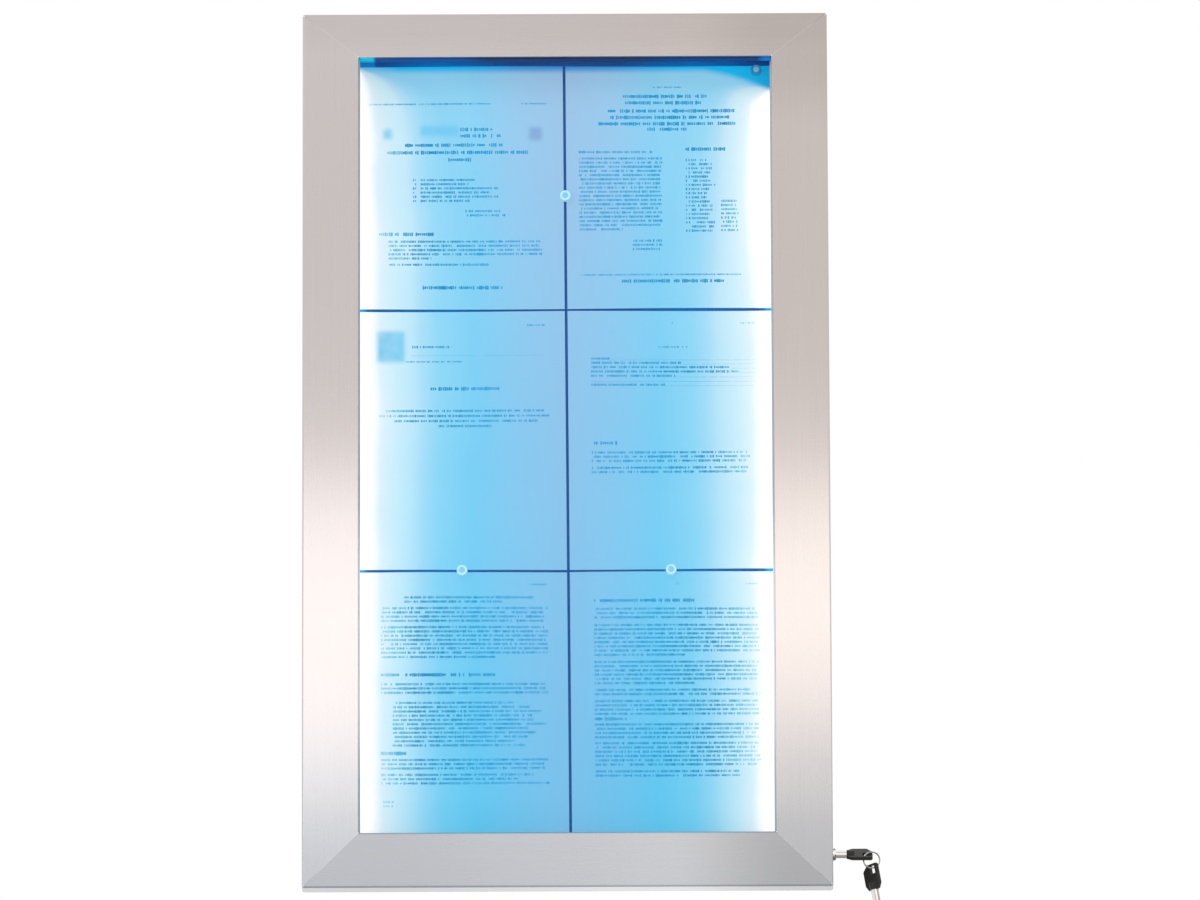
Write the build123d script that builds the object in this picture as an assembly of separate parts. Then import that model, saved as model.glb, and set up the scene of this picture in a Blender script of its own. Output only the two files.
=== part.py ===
from build123d import *
import os
from math import cos, radians, sin, sqrt

# Wall-hung information display case, in millimetres.
# X runs to the viewer's right, Y runs back into the wall, Z runs up.
# The origin is the middle of the wall screws, on the back face that lies on the wall.

# Printed sheets, two columns of three, which set the size of the case
sheet_width = 215.9
sheet_height = 279.4
top_sheet_height = 261.7
sheet_thickness = 0.25
sheet_gap = 2.0
sheet_head = 3.0
sheet_foot = 7.5
sheet_side_cover = 0.5

# Door frame, folded from sheet steel and mitred at the corners
stile_width = 58.6
top_rail_width = 47.0
bottom_rail_width = 58.0
door_depth = 22.0
door_gauge = 1.5
lip_depth = 8.0
fold_radius = 2.0
lip_radius = 1.0
corner_radius = 2.5
mitre_gap = 0.1

# Rear tray that hangs on the wall, and the seal between tray and door
door_overhang = 10.0
tray_depth = 23.0
tray_gauge = 1.2
tray_flange = 22.0
door_gap = 3.0
seal_edge = 3.5
seal_width = 6.0
seal_play = 0.3
flange_margin = 0.5

# Wall screws, and the cable entry behind the board
wall_hole_radius = 3.5
wall_hole_inset_x = 65.0
wall_hole_inset_z = 60.0
access_radius = 8.0
entry_bore_radius = 3.2
entry_hole_radius = 6.0
entry_flange_radius = 8.5
entry_flange_depth = 2.0
entry_fit = 0.05
entry_rise = 30.0

# Magnetic board on its spacers
board_standoff = 9.0
board_gauge = 1.0
board_play = 4.0
board_side_play = 1.8
board_screw_edge = 12.0
board_screw_end = 69.0
board_screw_rows = 4
spacer_radius = 5.0
screw_radius = 2.0
screw_bore_fit = 0.1
screw_depth = 6.0
screw_head_radius = 3.5
screw_head_depth = 2.2
screw_head_round = 1.1

# Light channels along the two sides
channel_depth = 12.0
channel_height = 12.0
channel_wall = 1.2
channel_play = 0.5
channel_end_room = 50.0
cover_gauge = 1.2
cover_fit = 0.1
strip_width = 8.0
strip_gauge = 0.5
chip_size = 5.0
chip_depth = 1.5
chip_count = 24
cap_depth = 2.0
cap_ear = 10.0
cap_screw_radius = 1.5
cap_screw_head_radius = 2.8
cap_screw_head_depth = 1.6

# Leads from the terminal block to the light channels
terminal_width = 28.0
terminal_depth = 7.5
terminal_height = 12.0
terminal_rise = 26.0
terminal_round = 1.2
lead_radius = 1.2
lead_fit = 0.1
lead_bend = 5.5
lead_tail = 2.0

# Magnets that hold the sheets
magnet_radius = 5.8
magnet_height = 6.5
magnet_round = 1.0
magnet_dish_radius = 3.4
magnet_dish_depth = 1.0
magnet_disc_radius = 4.0
magnet_disc_depth = 3.0
magnet_disc_fit = 0.1
seam_magnet_drop = 139.5
corner_magnet_inset = 16.0
corner_magnet_drop = 3.0

# Clear pane, its gasket, and the clips that hold it in the door
pane_gauge = 3.0
gasket_show = 1.5
gasket_wall = 1.5
pane_grip = 8.0
clip_gauge = 1.2
clip_width = 16.0
clip_reach = 4.0
clip_tail = 6.0
stud_offset = 17.0
stud_radius = 3.5
stud_thread_radius = 2.0
nut_radius = 4.0
nut_depth = 2.6
thread_fit = 0.1
stile_clip_span = 300.0
rail_clip_span = 130.0

# Corner brackets inside the mitres
bracket_leg = 60.0
bracket_width = 22.0
bracket_gauge = 1.5
bracket_fit = 0.5

# Hinges on the left-hand side
hinge_count = 3
hinge_end = 140.0
hinge_length = 60.0
hinge_leaf_gauge = 1.2
knuckle_radius = 3.3
knuckle_length = 12.0
knuckle_gap = 0.3
hinge_play = 0.3
leaf_notch = 0.6
leaf_margin = 1.0
leaf_back_margin = 2.5
pin_radius = 1.6
pin_fit = 0.05
pin_head_radius = 2.4
pin_head_depth = 1.0
rivet_radius = 1.5
rivet_head_radius = 2.4
rivet_head_depth = 0.8
rivet_end = 6.0
rivet_back = 6.0

# Lock on the right-hand side near the bottom
lock_rise = 35.5
rose_radius = 6.4
rose_depth = 3.0
rose_chamfer = 1.0
housing_radius = 5.4
housing_fit = 0.15
housing_past_flange = 1.0
plug_radius = 4.5
plug_fit = 0.05
plug_recess = 0.4
keyway_outer = 4.0
keyway_inner = 2.55
keyway_depth = 9.0
lock_nut_radius = 7.4
lock_nut_depth = 3.0
spigot_size = 4.5
cam_gap = 0.3
cam_gauge = 2.5
cam_reach = 11.0
cam_width = 7.0
cam_screw_radius = 1.5
cam_screw_length = 8.0
cam_screw_head_radius = 3.0
cam_screw_head_depth = 1.8

# Strike bracket on the tray, which the cam turns down into
strike_gauge = 1.5
strike_width = 8.5
strike_side_gap = 1.5
strike_cam_gap = 1.2
strike_mouth = 6.5
strike_drop = 14.0
strike_base_height = 24.0
strike_screw_edge = 4.0
strike_screw_radius = 1.25
strike_screw_head_radius = 2.4
strike_screw_head_depth = 1.4
strike_screw_length = 4.0

# Tubular keys on a ring
shank_radius = 3.9
shank_bore_radius = 2.65
shank_length = 23.0
shank_inserted = 8.0
bow_length = 27.0
bow_gauge = 4.0
bow_shank_half = 6.5
bow_half = 10.0
bow_side_start = 5.5
bow_short_side_end = 21.0
bow_short_half = 3.2
bow_long_side_end = 25.5
bow_long_half = 8.5
bow_round = 0.8
bow_corner_round = 1.5
shank_in_bow = 4.0
collar_length = 7.8
collar_wall = 0.8
slot_length = 8.4
slot_half = 3.4
slot_round = 0.8
slot_bar = 2.2
slot_aside = 3.5
key_tilt = 40.0
ring_radius = 8.4
ring_wire_radius = 0.75
ring_play = 0.7
spare_yaw = -45.0
spare_hang_play = 1.4
spare_lean = 10.0

# Planes and edges that follow from the sizes
opening_width = 2 * sheet_width + sheet_gap - 2 * sheet_side_cover
opening_height = top_sheet_height + 2 * sheet_height + 2 * sheet_gap + sheet_head + sheet_foot
door_x = opening_width / 2 + stile_width
door_z = (opening_height + top_rail_width + bottom_rail_width) / 2
open_x = opening_width / 2
open_top = door_z - top_rail_width
open_bottom = bottom_rail_width - door_z
tray_x = door_x - door_overhang
tray_z = door_z - door_overhang
tray_inner_x = tray_x - tray_gauge
tray_inner_z = tray_z - tray_gauge
mouth_x = tray_x - tray_flange
mouth_z = tray_z - tray_flange
tray_front = -tray_depth
flange_back = tray_front + tray_gauge
door_back = tray_front - door_gap
door_front = door_back - door_depth
door_flange = door_overhang + seal_edge + seal_width + flange_margin
flange_x = door_x - door_flange
wall_hole_x = tray_x - wall_hole_inset_x
wall_hole_z = tray_z - wall_hole_inset_z
wall_holes = [(x, z) for x in (-wall_hole_x, wall_hole_x) for z in (-wall_hole_z, wall_hole_z)]
board_back = -tray_gauge - board_standoff
board_front = board_back - board_gauge
board_x = tray_inner_x - channel_depth - board_side_play
board_z = tray_inner_z - board_play
screw_x = board_x - board_screw_edge
screw_z = board_z - board_screw_end
board_screws = [
    (side * screw_x, screw_z * (2 * row / (board_screw_rows - 1) - 1))
    for side in (-1, 1)
    for row in range(board_screw_rows)
]
sheet_front = board_front - sheet_thickness
column_x = (sheet_width + sheet_gap) / 2
top_row_top = open_top - sheet_head
middle_row_top = top_row_top - top_sheet_height - sheet_gap
bottom_row_top = middle_row_top - sheet_height - sheet_gap
sheet_rows = {
    "top": (top_row_top, top_sheet_height),
    "middle": (middle_row_top, sheet_height),
    "bottom": (bottom_row_top, sheet_height),
}
lower_seam = bottom_row_top + sheet_gap / 2
magnets = [
    (0.0, top_row_top - seam_magnet_drop),
    (-column_x, lower_seam),
    (column_x, lower_seam),
    (column_x + sheet_width / 2 - corner_magnet_inset, top_row_top - corner_magnet_drop),
]
channel_front = flange_back + channel_play
channel_back = channel_front + channel_height
channel_y = (channel_front + channel_back) / 2
channel_x = tray_inner_x - channel_depth
channel_z = tray_z - channel_end_room
terminal_z = terminal_rise - tray_inner_z
entry_z = terminal_z + entry_rise
gasket_front = door_front + lip_depth
pane_front = gasket_front + gasket_wall
pane_back = pane_front + pane_gauge
gasket_back = pane_back + gasket_wall
gasket_grow = pane_grip + gasket_wall
stud_x = open_x + stud_offset
clip_spots = [
    (side * stud_x, height, side, 0)
    for side in (-1, 1)
    for height in (-stile_clip_span, 0.0, stile_clip_span)
] + [
    (across * rail_clip_span, place, 0, side)
    for place, side in ((open_top + stud_offset, 1), (open_bottom - stud_offset, -1))
    for across in (-1, 1)
]
hinge_x = -(tray_x + knuckle_radius + hinge_play)
hinge_y = door_back + knuckle_radius + hinge_play
hinge_z = tray_z - hinge_end
hinge_heights = [hinge_z * (2 * i / (hinge_count - 1) - 1) for i in range(hinge_count)]
middle_barrel_half = knuckle_length / 2
outer_barrel_start = middle_barrel_half + knuckle_gap
outer_barrel_end = outer_barrel_start + knuckle_length
lock_y = door_front + door_depth / 2
lock_z = lock_rise - door_z
rose_x = door_x + rose_depth
housing_end = flange_x - housing_past_flange
cam_x = housing_end - cam_gap
cam_inner_x = cam_x - cam_gauge
bow_x = rose_x - shank_inserted + shank_length - shank_in_bow
slot_start = bow_length - slot_bar - slot_length


def block(x0, x1, y0, y1, z0, z1):
    """Rectangular block between two corners."""
    middle = Pos((x0 + x1) / 2, (y0 + y1) / 2, (z0 + z1) / 2)
    return middle * Box(abs(x1 - x0), abs(y1 - y0), abs(z1 - z0))


def rod_x(radius, x0, x1, y, z):
    """Round bar along X."""
    return Pos((x0 + x1) / 2, y, z) * Rot(0, 90, 0) * Cylinder(radius, abs(x1 - x0))


def rod_y(radius, y0, y1, x, z):
    """Round bar along Y."""
    return Pos(x, (y0 + y1) / 2, z) * Rot(90, 0, 0) * Cylinder(radius, abs(y1 - y0))


def rod_z(radius, z0, z1, x, y):
    """Round bar along Z."""
    return Pos(x, y, (z0 + z1) / 2) * Cylinder(radius, abs(z1 - z0))


def hex_x(radius, x0, x1, y, z):
    """Hexagonal bar along X."""
    bar = extrude(RegularPolygon(radius, 6), abs(x1 - x0))
    return Pos(min(x0, x1), y, z) * Rot(0, 90, 0) * bar


def hex_y(radius, y0, y1, x, z):
    """Hexagonal bar along Y."""
    bar = extrude(RegularPolygon(radius, 6), abs(y1 - y0))
    return Pos(x, max(y0, y1), z) * Rot(90, 0, 0) * bar


def handed(piece, side):
    """The piece as modelled for the right-hand side, or mirrored to the left."""
    return piece if side > 0 else mirror(piece, Plane.YZ)


def save(node, *pieces):
    """Write one node as a STEP file, with each piece as its own solid."""
    solids = [solid for piece in pieces for solid in piece.solids()]
    shape = solids[0] if len(solids) == 1 else Compound(children=solids)
    export_step(shape, f"parts/{node}.step")
    print(f"{node}: {len(solids)} solid(s), {sum(s.volume for s in solids):.1f} mm3")


def back_panel():
    """Flat back of the tray, with the wall screws' holes and the cable entry."""
    panel = block(-tray_x, tray_x, -tray_gauge, 0, -tray_z, tray_z)
    for x, z in wall_holes:
        panel -= rod_y(wall_hole_radius, -tray_gauge, 0, x, z)
    return panel - rod_y(entry_hole_radius, -tray_gauge, 0, 0, entry_z)


def tray_side(side):
    """Folded side of the tray: a wall and a front flange over the whole height."""
    wall = block(tray_inner_x, tray_x, tray_front, -tray_gauge, -tray_z, tray_z)
    folded = wall + block(mouth_x, tray_inner_x, tray_front, flange_back, -tray_z, tray_z)
    for end in (-1, 1):
        folded -= rod_x(cap_screw_radius, tray_inner_x, tray_x, channel_y, end * cap_screw_z())
    if side > 0:
        for z in strike_screw_heights():
            folded -= rod_y(strike_screw_radius, tray_front, flange_back, strike_x(), z)
        return folded
    folded = handed(folded, side)
    for height in hinge_heights:
        for y, z in case_rivet_spots(height):
            folded -= rod_x(rivet_radius, -tray_x, -tray_inner_x, y, z)
    return folded


def tray_end(end):
    """Folded top or bottom of the tray, fitted between the two sides."""
    folded = block(-tray_inner_x, tray_inner_x, flange_back, -tray_gauge, tray_inner_z, tray_z)
    folded += block(-mouth_x, mouth_x, tray_front, flange_back, mouth_z, tray_z)
    return folded if end > 0 else mirror(folded, Plane.XY)


def magnet_board():
    """Steel board that carries the sheets, with its screw and access holes."""
    board = block(-board_x, board_x, board_front, board_back, -board_z, board_z)
    for x, z in board_screws:
        board -= rod_y(screw_radius + screw_bore_fit, board_front, board_back, x, z)
    for x, z in wall_holes:
        board -= rod_y(access_radius, board_front, board_back, x, z)
    return board


def board_spacer(x, z):
    """Round spacer welded to the tray's back, tapped from the front for the board's screw."""
    spacer = rod_y(spacer_radius, board_back, -tray_gauge, x, z)
    return spacer - rod_y(screw_radius, board_back, board_back + screw_depth, x, z)


def board_screw(x, z):
    """Pan-head screw through the board into its spacer."""
    head = rod_y(screw_head_radius, board_front - screw_head_depth, board_front, x, z)
    head = fillet(head.faces().sort_by(Axis.Y)[0].edges(), screw_head_round)
    return head + rod_y(screw_radius, board_front, board_back + screw_depth, x, z)


def light_channel(side):
    """Aluminium channel on the tray's side wall, open towards the sheets."""
    channel = block(channel_x, tray_inner_x, channel_front, channel_back, -channel_z, channel_z)
    channel -= block(
        channel_x,
        tray_inner_x - channel_wall,
        channel_front + channel_wall,
        channel_back - channel_wall,
        -channel_z,
        channel_z,
    )
    return handed(channel, side)


def light_strip(side):
    """Flexible circuit strip on the channel's floor."""
    floor = tray_inner_x - channel_wall
    half = strip_width / 2
    strip = block(floor - strip_gauge, floor, channel_y - half, channel_y + half, -channel_z, channel_z)
    return handed(strip, side)


def light_chips(side):
    """Row of light chips on the strip."""
    seat = tray_inner_x - channel_wall - strip_gauge
    half = chip_size / 2
    pitch = 2 * channel_z / chip_count
    chips = []
    for i in range(chip_count):
        z = -channel_z + (i + 0.5) * pitch
        chip = block(seat - chip_depth, seat, channel_y - half, channel_y + half, z - half, z + half)
        chips.append(handed(chip, side))
    return chips


def light_cover(side):
    """Opal cover that closes the channel."""
    inset = channel_wall + cover_fit
    cover = block(
        channel_x, channel_x + cover_gauge, channel_front + inset, channel_back - inset, -channel_z, channel_z
    )
    return handed(cover, side)


def cap_screw_z():
    """Height of the screw in an end cap's ear."""
    return channel_z + cap_depth + cap_ear / 2


def end_cap(side, end):
    """End cap of a light channel, with an ear on the tray's wall."""
    cap = block(channel_x, tray_inner_x, channel_front, channel_back, channel_z, channel_z + cap_depth)
    ear_top = channel_z + cap_depth + cap_ear
    cap += block(
        tray_inner_x - channel_wall, tray_inner_x, channel_front, channel_back, channel_z + cap_depth, ear_top
    )
    cap -= rod_x(cap_screw_radius, tray_inner_x - channel_wall, tray_inner_x, channel_y, cap_screw_z())
    if end < 0:
        cap -= rod_z(lead_radius + lead_fit, channel_z, channel_z + cap_depth, lead_x(), channel_y)
        cap = mirror(cap, Plane.XY)
    return handed(cap, side)


def end_cap_screw(side, end):
    """Screw through an end cap's ear into the tray's wall."""
    seat = tray_inner_x - channel_wall
    z = end * cap_screw_z()
    head = rod_x(cap_screw_head_radius, seat - cap_screw_head_depth, seat, channel_y, z)
    return handed(head + rod_x(cap_screw_radius, seat, tray_x, channel_y, z), side)


def lead_x():
    """Distance from the middle at which a lead goes up into its channel."""
    return tray_inner_x - channel_depth / 2 - channel_wall


def light_lead(side):
    """Lead along the tray's back, then forward and up into a light channel."""
    start_y = -tray_gauge - lead_radius - lead_fit
    route = [
        (terminal_width / 2, start_y, terminal_z),
        (lead_x(), start_y, terminal_z),
        (lead_x(), channel_y, terminal_z),
        (lead_x(), channel_y, -channel_z + lead_tail),
    ]
    path = FilletPolyline(*route, radius=lead_bend)
    section = Plane(origin=route[0], z_dir=(1, 0, 0)) * Circle(lead_radius)
    return handed(sweep(section, path=path), side)


def terminal_block():
    """Terminal block on the tray's back, behind the board."""
    half = terminal_height / 2
    body = block(
        -terminal_width / 2,
        terminal_width / 2,
        -tray_gauge - terminal_depth,
        -tray_gauge,
        terminal_z - half,
        terminal_z + half,
    )
    return fillet(body.edges().filter_by(Axis.Z), terminal_round)


def cable_grommet():
    """Rubber grommet in the cable entry, flush with the wall face."""
    grommet = rod_y(entry_hole_radius - entry_fit, -tray_gauge, 0, 0, entry_z)
    grommet += rod_y(entry_flange_radius, -tray_gauge - entry_flange_depth, -tray_gauge, 0, entry_z)
    return grommet - rod_y(entry_bore_radius, -tray_gauge - entry_flange_depth, 0, 0, entry_z)


def notice_sheet(row, side):
    """One printed sheet on the board."""
    top, height = sheet_rows[row]
    middle = side * column_x
    half = sheet_width / 2
    return block(middle - half, middle + half, sheet_front, board_front, top - height, top)


def magnet_cap(x, z):
    """Dished plastic cap of a magnet."""
    cap = rod_y(magnet_radius, sheet_front - magnet_height, sheet_front, x, z)
    cap = fillet(cap.faces().sort_by(Axis.Y)[0].edges(), magnet_round)
    front = sheet_front - magnet_height
    cap -= rod_y(magnet_dish_radius, front, front + magnet_dish_depth, x, z)
    pocket = magnet_disc_radius + magnet_disc_fit
    return cap - rod_y(pocket, sheet_front - magnet_disc_depth, sheet_front, x, z)


def magnet_disc(x, z):
    """Magnet in the back of a cap."""
    return rod_y(magnet_disc_radius, sheet_front - magnet_disc_depth, sheet_front, x, z)


def door_seal():
    """Foam seal on the tray's flange, in four strips butted at the corners."""
    front = door_back + seal_play
    outer_x = tray_x - seal_edge
    outer_z = tray_z - seal_edge
    inner_x = outer_x - seal_width
    inner_z = outer_z - seal_width
    return [
        block(-outer_x, outer_x, front, tray_front, inner_z, outer_z),
        block(-outer_x, outer_x, front, tray_front, -outer_z, -inner_z),
        block(-outer_x, -inner_x, front, tray_front, -inner_z, inner_z),
        block(inner_x, outer_x, front, tray_front, -inner_z, inner_z),
    ]


def case_rivet_spots(height):
    """Places of the rivets that hold a hinge's leaf on the tray's side."""
    reach = hinge_length / 2 - rivet_end
    return [(-rivet_back, height - reach), (-rivet_back, height + reach)]


def hinge_bore(height):
    """The pin's way through one hinge."""
    half = hinge_length / 2
    return rod_z(pin_radius + pin_fit, height - half, height + half, hinge_x, hinge_y)


def hinge_case_leaf(height):
    """Leaf on the tray's side with the two outer barrels."""
    half = hinge_length / 2
    leaf = block(
        -tray_x - hinge_leaf_gauge, -tray_x, hinge_y, -leaf_back_margin, height - half, height + half
    )
    start = outer_barrel_start
    end = outer_barrel_end
    notch_back = hinge_y + knuckle_radius + leaf_notch
    leaf -= block(hinge_x, -tray_x, hinge_y, notch_back, height - start, height + start)
    for z0, z1 in ((height - end, height - start), (height + start, height + end)):
        leaf += rod_z(knuckle_radius, z0, z1, hinge_x, hinge_y)
        joint = block(hinge_x, -tray_x, hinge_y, hinge_y + knuckle_radius, z0, z1)
        leaf += joint - rod_z(knuckle_radius, z0, z1, hinge_x, hinge_y)
    leaf -= hinge_bore(height)
    for y, z in case_rivet_spots(height):
        leaf -= rod_x(rivet_radius, -tray_x - hinge_leaf_gauge, -tray_x, y, z)
    return leaf


def case_rivet(y, z):
    """Rivet through a hinge's leaf and the tray's side."""
    outer = -tray_x - hinge_leaf_gauge
    rivet = rod_x(rivet_radius, outer, -tray_inner_x, y, z)
    rivet += rod_x(rivet_head_radius, outer - rivet_head_depth, outer, y, z)
    return rivet + rod_x(rivet_head_radius, -tray_inner_x, -tray_inner_x + rivet_head_depth, y, z)


def hinge_pin(height):
    """Headed pin through one hinge's barrels."""
    end = outer_barrel_end
    pin = rod_z(pin_radius, height - end, height + end, hinge_x, hinge_y)
    pin += rod_z(pin_head_radius, height + end, height + end + pin_head_depth, hinge_x, hinge_y)
    return pin + rod_z(pin_head_radius, height - end - pin_head_depth, height - end, hinge_x, hinge_y)


def door_rivet_spots(height):
    """Places of the rivets that hold a hinge's leaf on the door's flange."""
    reach = hinge_length / 2 - rivet_end
    return [(hinge_x, height - reach), (hinge_x, height + reach)]


def hinge_door_leaf(height):
    """Leaf on the door's rear flange with the middle barrel."""
    half = hinge_length / 2
    outer = -door_x + leaf_margin
    inner = -(tray_x - seal_edge) - flange_margin
    leaf = block(outer, inner, door_back, door_back + hinge_leaf_gauge, height - half, height + half)
    middle = middle_barrel_half
    reach = knuckle_radius + leaf_notch
    end = outer_barrel_end + pin_head_depth + knuckle_gap
    for z0, z1 in ((height - end, height - middle), (height + middle, height + end)):
        leaf -= block(hinge_x - reach, hinge_x + reach, door_back, door_back + hinge_leaf_gauge, z0, z1)
    leaf += rod_z(knuckle_radius, height - middle, height + middle, hinge_x, hinge_y)
    leaf -= hinge_bore(height)
    for x, z in door_rivet_spots(height):
        leaf -= rod_y(rivet_radius, door_back, door_back + hinge_leaf_gauge, x, z)
    return leaf


def door_rivet(x, z):
    """Rivet through a hinge's leaf and the door's flange."""
    outer = door_back + hinge_leaf_gauge
    inner = door_back - door_gauge
    rivet = rod_y(rivet_radius, inner, outer, x, z)
    rivet += rod_y(rivet_head_radius, outer, outer + rivet_head_depth, x, z)
    return rivet + rod_y(rivet_head_radius, inner - rivet_head_depth, inner, x, z)


def door_shell():
    """Whole folded door frame before it is cut at the mitres."""
    shell = block(-door_x, door_x, door_front, door_back, -door_z, door_z)
    shell = fillet(shell.edges().filter_by(Axis.Y), corner_radius)
    shell = fillet(shell.faces().sort_by(Axis.Y)[0].edges(), fold_radius)
    shell -= block(
        -door_x + door_gauge,
        door_x - door_gauge,
        door_front + door_gauge,
        door_back - door_gauge,
        -door_z + door_gauge,
        door_z - door_gauge,
    )
    flange_z = door_z - door_flange
    shell -= block(-flange_x, flange_x, door_back - door_gauge, door_back, -flange_z, flange_z)
    lip = block(
        -open_x - door_gauge,
        open_x + door_gauge,
        door_front + door_gauge,
        gasket_front,
        open_bottom - door_gauge,
        open_top + door_gauge,
    )
    shell += lip
    opening = block(-open_x, open_x, door_front, gasket_front, open_bottom, open_top)
    shell -= opening
    front = shell.faces().filter_by(Axis.Y).sort_by(Axis.Y)[0]
    shell = fillet(front.inner_wires()[0].edges(), lip_radius)
    shell -= rod_x(housing_radius + housing_fit, door_x - door_gauge, door_x, lock_y, lock_z)
    for height in hinge_heights:
        for x, z in door_rivet_spots(height):
            shell -= rod_y(rivet_radius, door_back - door_gauge, door_back, x, z)
    return shell


def door_members():
    """The two rails and two stiles, cut from the folded frame at the mitres."""
    shell = door_shell()
    outer = {(sx, sz): Vector(sx * door_x, sz * door_z) for sx in (-1, 1) for sz in (-1, 1)}
    inner = {(sx, sz): Vector(sx * open_x, open_top if sz > 0 else open_bottom) for sx, sz in outer}
    members = {}
    sides = {
        "door_top_rail": ((-1, 1), (1, 1)),
        "door_bottom_rail": ((1, -1), (-1, -1)),
        "door_left_stile": ((-1, -1), (-1, 1)),
        "door_right_stile": ((1, 1), (1, -1)),
    }
    for name, (first, second) in sides.items():
        corners = []
        for key, way in ((first, 1), (second, 1), (second, -1), (first, -1)):
            reach = outer[key] - inner[key]
            base = outer[key] if way > 0 else inner[key]
            corners.append(base + reach.normalized() * (way * corner_radius))
        region = make_face(Polyline(*corners, close=True))
        region = offset(region, -mitre_gap / 2)
        cutter = extrude(Plane.XZ * region, -door_front + door_gauge)
        members[name] = shell & cutter
    return members


def door_pane():
    """Clear pane."""
    return block(
        -open_x - pane_grip,
        open_x + pane_grip,
        pane_front,
        pane_back,
        open_bottom - pane_grip,
        open_top + pane_grip,
    )


def pane_gasket():
    """Rubber channel wrapped round the pane's edge, showing a little inside the opening."""
    outer_x = open_x + gasket_grow
    inner_x = open_x - gasket_show
    gasket = block(
        -outer_x, outer_x, gasket_front, gasket_back, open_bottom - gasket_grow, open_top + gasket_grow
    )
    gasket -= block(
        -inner_x, inner_x, gasket_front, gasket_back, open_bottom + gasket_show, open_top - gasket_show
    )
    return gasket - door_pane()


def clip_stud(x, z):
    """Stepped stud on the back of the door's face."""
    stud = rod_y(stud_radius, door_front + door_gauge, gasket_back, x, z)
    tip = gasket_back + clip_gauge + nut_depth + thread_fit
    return stud + rod_y(stud_thread_radius, gasket_back, tip, x, z)


def pane_clip(x, z, side_x, side_z):
    """Flat clip from a stud to the gasket."""
    inward = stud_offset - gasket_grow + clip_reach
    half = clip_width / 2
    if side_x:
        ends = sorted((x - side_x * inward, x + side_x * clip_tail))
        clip = block(ends[0], ends[1], gasket_back, gasket_back + clip_gauge, z - half, z + half)
    else:
        ends = sorted((z - side_z * inward, z + side_z * clip_tail))
        clip = block(x - half, x + half, gasket_back, gasket_back + clip_gauge, ends[0], ends[1])
    return clip - rod_y(stud_thread_radius + thread_fit, gasket_back, gasket_back + clip_gauge, x, z)


def clip_nut(x, z):
    """Nut on a clip's stud."""
    seat = gasket_back + clip_gauge
    nut = hex_y(nut_radius, seat, seat + nut_depth, x, z)
    return nut - rod_y(stud_thread_radius, seat, seat + nut_depth, x, z)


def corner_bracket(sx, sz):
    """L-shaped plate behind one mitre."""
    y0 = door_front + door_gauge
    y1 = y0 + bracket_gauge
    x0 = door_x - door_gauge - bracket_fit
    z0 = door_z - door_gauge - bracket_fit
    plate = block(x0 - bracket_leg, x0, y0, y1, z0 - bracket_width, z0)
    plate += block(x0 - bracket_width, x0, y0, y1, z0 - bracket_leg, z0)
    if sz < 0:
        plate = mirror(plate, Plane.XY)
    return handed(plate, sx)


def lock_housing():
    """Threaded housing with its rose on the door's side."""
    housing = rod_x(rose_radius, door_x, rose_x, lock_y, lock_z)
    housing = chamfer(housing.faces().sort_by(Axis.X)[-1].edges(), rose_chamfer)
    housing += rod_x(housing_radius, housing_end, door_x, lock_y, lock_z)
    return housing - rod_x(plug_radius + plug_fit, housing_end, rose_x, lock_y, lock_z)


def lock_nut():
    """Nut that clamps the lock to the door's side."""
    seat = door_x - door_gauge
    nut = hex_x(lock_nut_radius, seat - lock_nut_depth, seat, lock_y, lock_z)
    return nut - rod_x(housing_radius, seat - lock_nut_depth, seat, lock_y, lock_z)


def lock_plug():
    """Turning plug with a ring-shaped keyway and a square spigot for the cam."""
    face = rose_x - plug_recess
    plug = rod_x(plug_radius, housing_end, face, lock_y, lock_z)
    keyway = rod_x(keyway_outer, face - keyway_depth, face, lock_y, lock_z)
    keyway -= rod_x(keyway_inner, face - keyway_depth, face, lock_y, lock_z)
    plug -= keyway
    half = spigot_size / 2
    plug += block(cam_inner_x, housing_end, lock_y - half, lock_y + half, lock_z - half, lock_z + half)
    return plug - rod_x(cam_screw_radius, cam_inner_x, cam_inner_x + cam_screw_length, lock_y, lock_z)


def lock_cam():
    """Flat cam that points back when the lock is open."""
    half = cam_width / 2
    cam = block(cam_inner_x, cam_x, lock_y, lock_y + cam_reach - half, lock_z - half, lock_z + half)
    cam += rod_x(half, cam_inner_x, cam_x, lock_y, lock_z)
    cam += rod_x(half, cam_inner_x, cam_x, lock_y + cam_reach - half, lock_z)
    half = spigot_size / 2
    return cam - block(cam_inner_x, cam_x, lock_y - half, lock_y + half, lock_z - half, lock_z + half)


def cam_screw():
    """Screw that holds the cam on the plug."""
    head = rod_x(cam_screw_head_radius, cam_inner_x - cam_screw_head_depth, cam_inner_x, lock_y, lock_z)
    return head + rod_x(cam_screw_radius, cam_inner_x, cam_inner_x + cam_screw_length, lock_y, lock_z)


def strike_x():
    """Middle of the strike bracket's width."""
    return flange_x - strike_side_gap - strike_width / 2


def strike_screw_heights():
    """Heights of the strike bracket's two screws."""
    low = lock_z - strike_drop
    return [low + strike_screw_edge, low + strike_base_height - strike_screw_edge]


def strike_bracket():
    """Folded bracket whose front lip stands before the locked cam."""
    x0 = strike_x() - strike_width / 2
    x1 = strike_x() + strike_width / 2
    low = lock_z - strike_drop
    lip_back = lock_y - cam_width / 2 - strike_cam_gap
    lip_front = lip_back - strike_gauge
    base = tray_front - strike_gauge
    bracket = block(x0, x1, base, tray_front, low - strike_gauge, low + strike_base_height)
    bracket += block(x0, x1, lip_front, tray_front, low - strike_gauge, low)
    bracket += block(x0, x1, lip_front, lip_back, low - strike_gauge, lock_z - strike_mouth)
    for z in strike_screw_heights():
        bracket -= rod_y(strike_screw_radius, base, tray_front, strike_x(), z)
    return bracket


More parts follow.
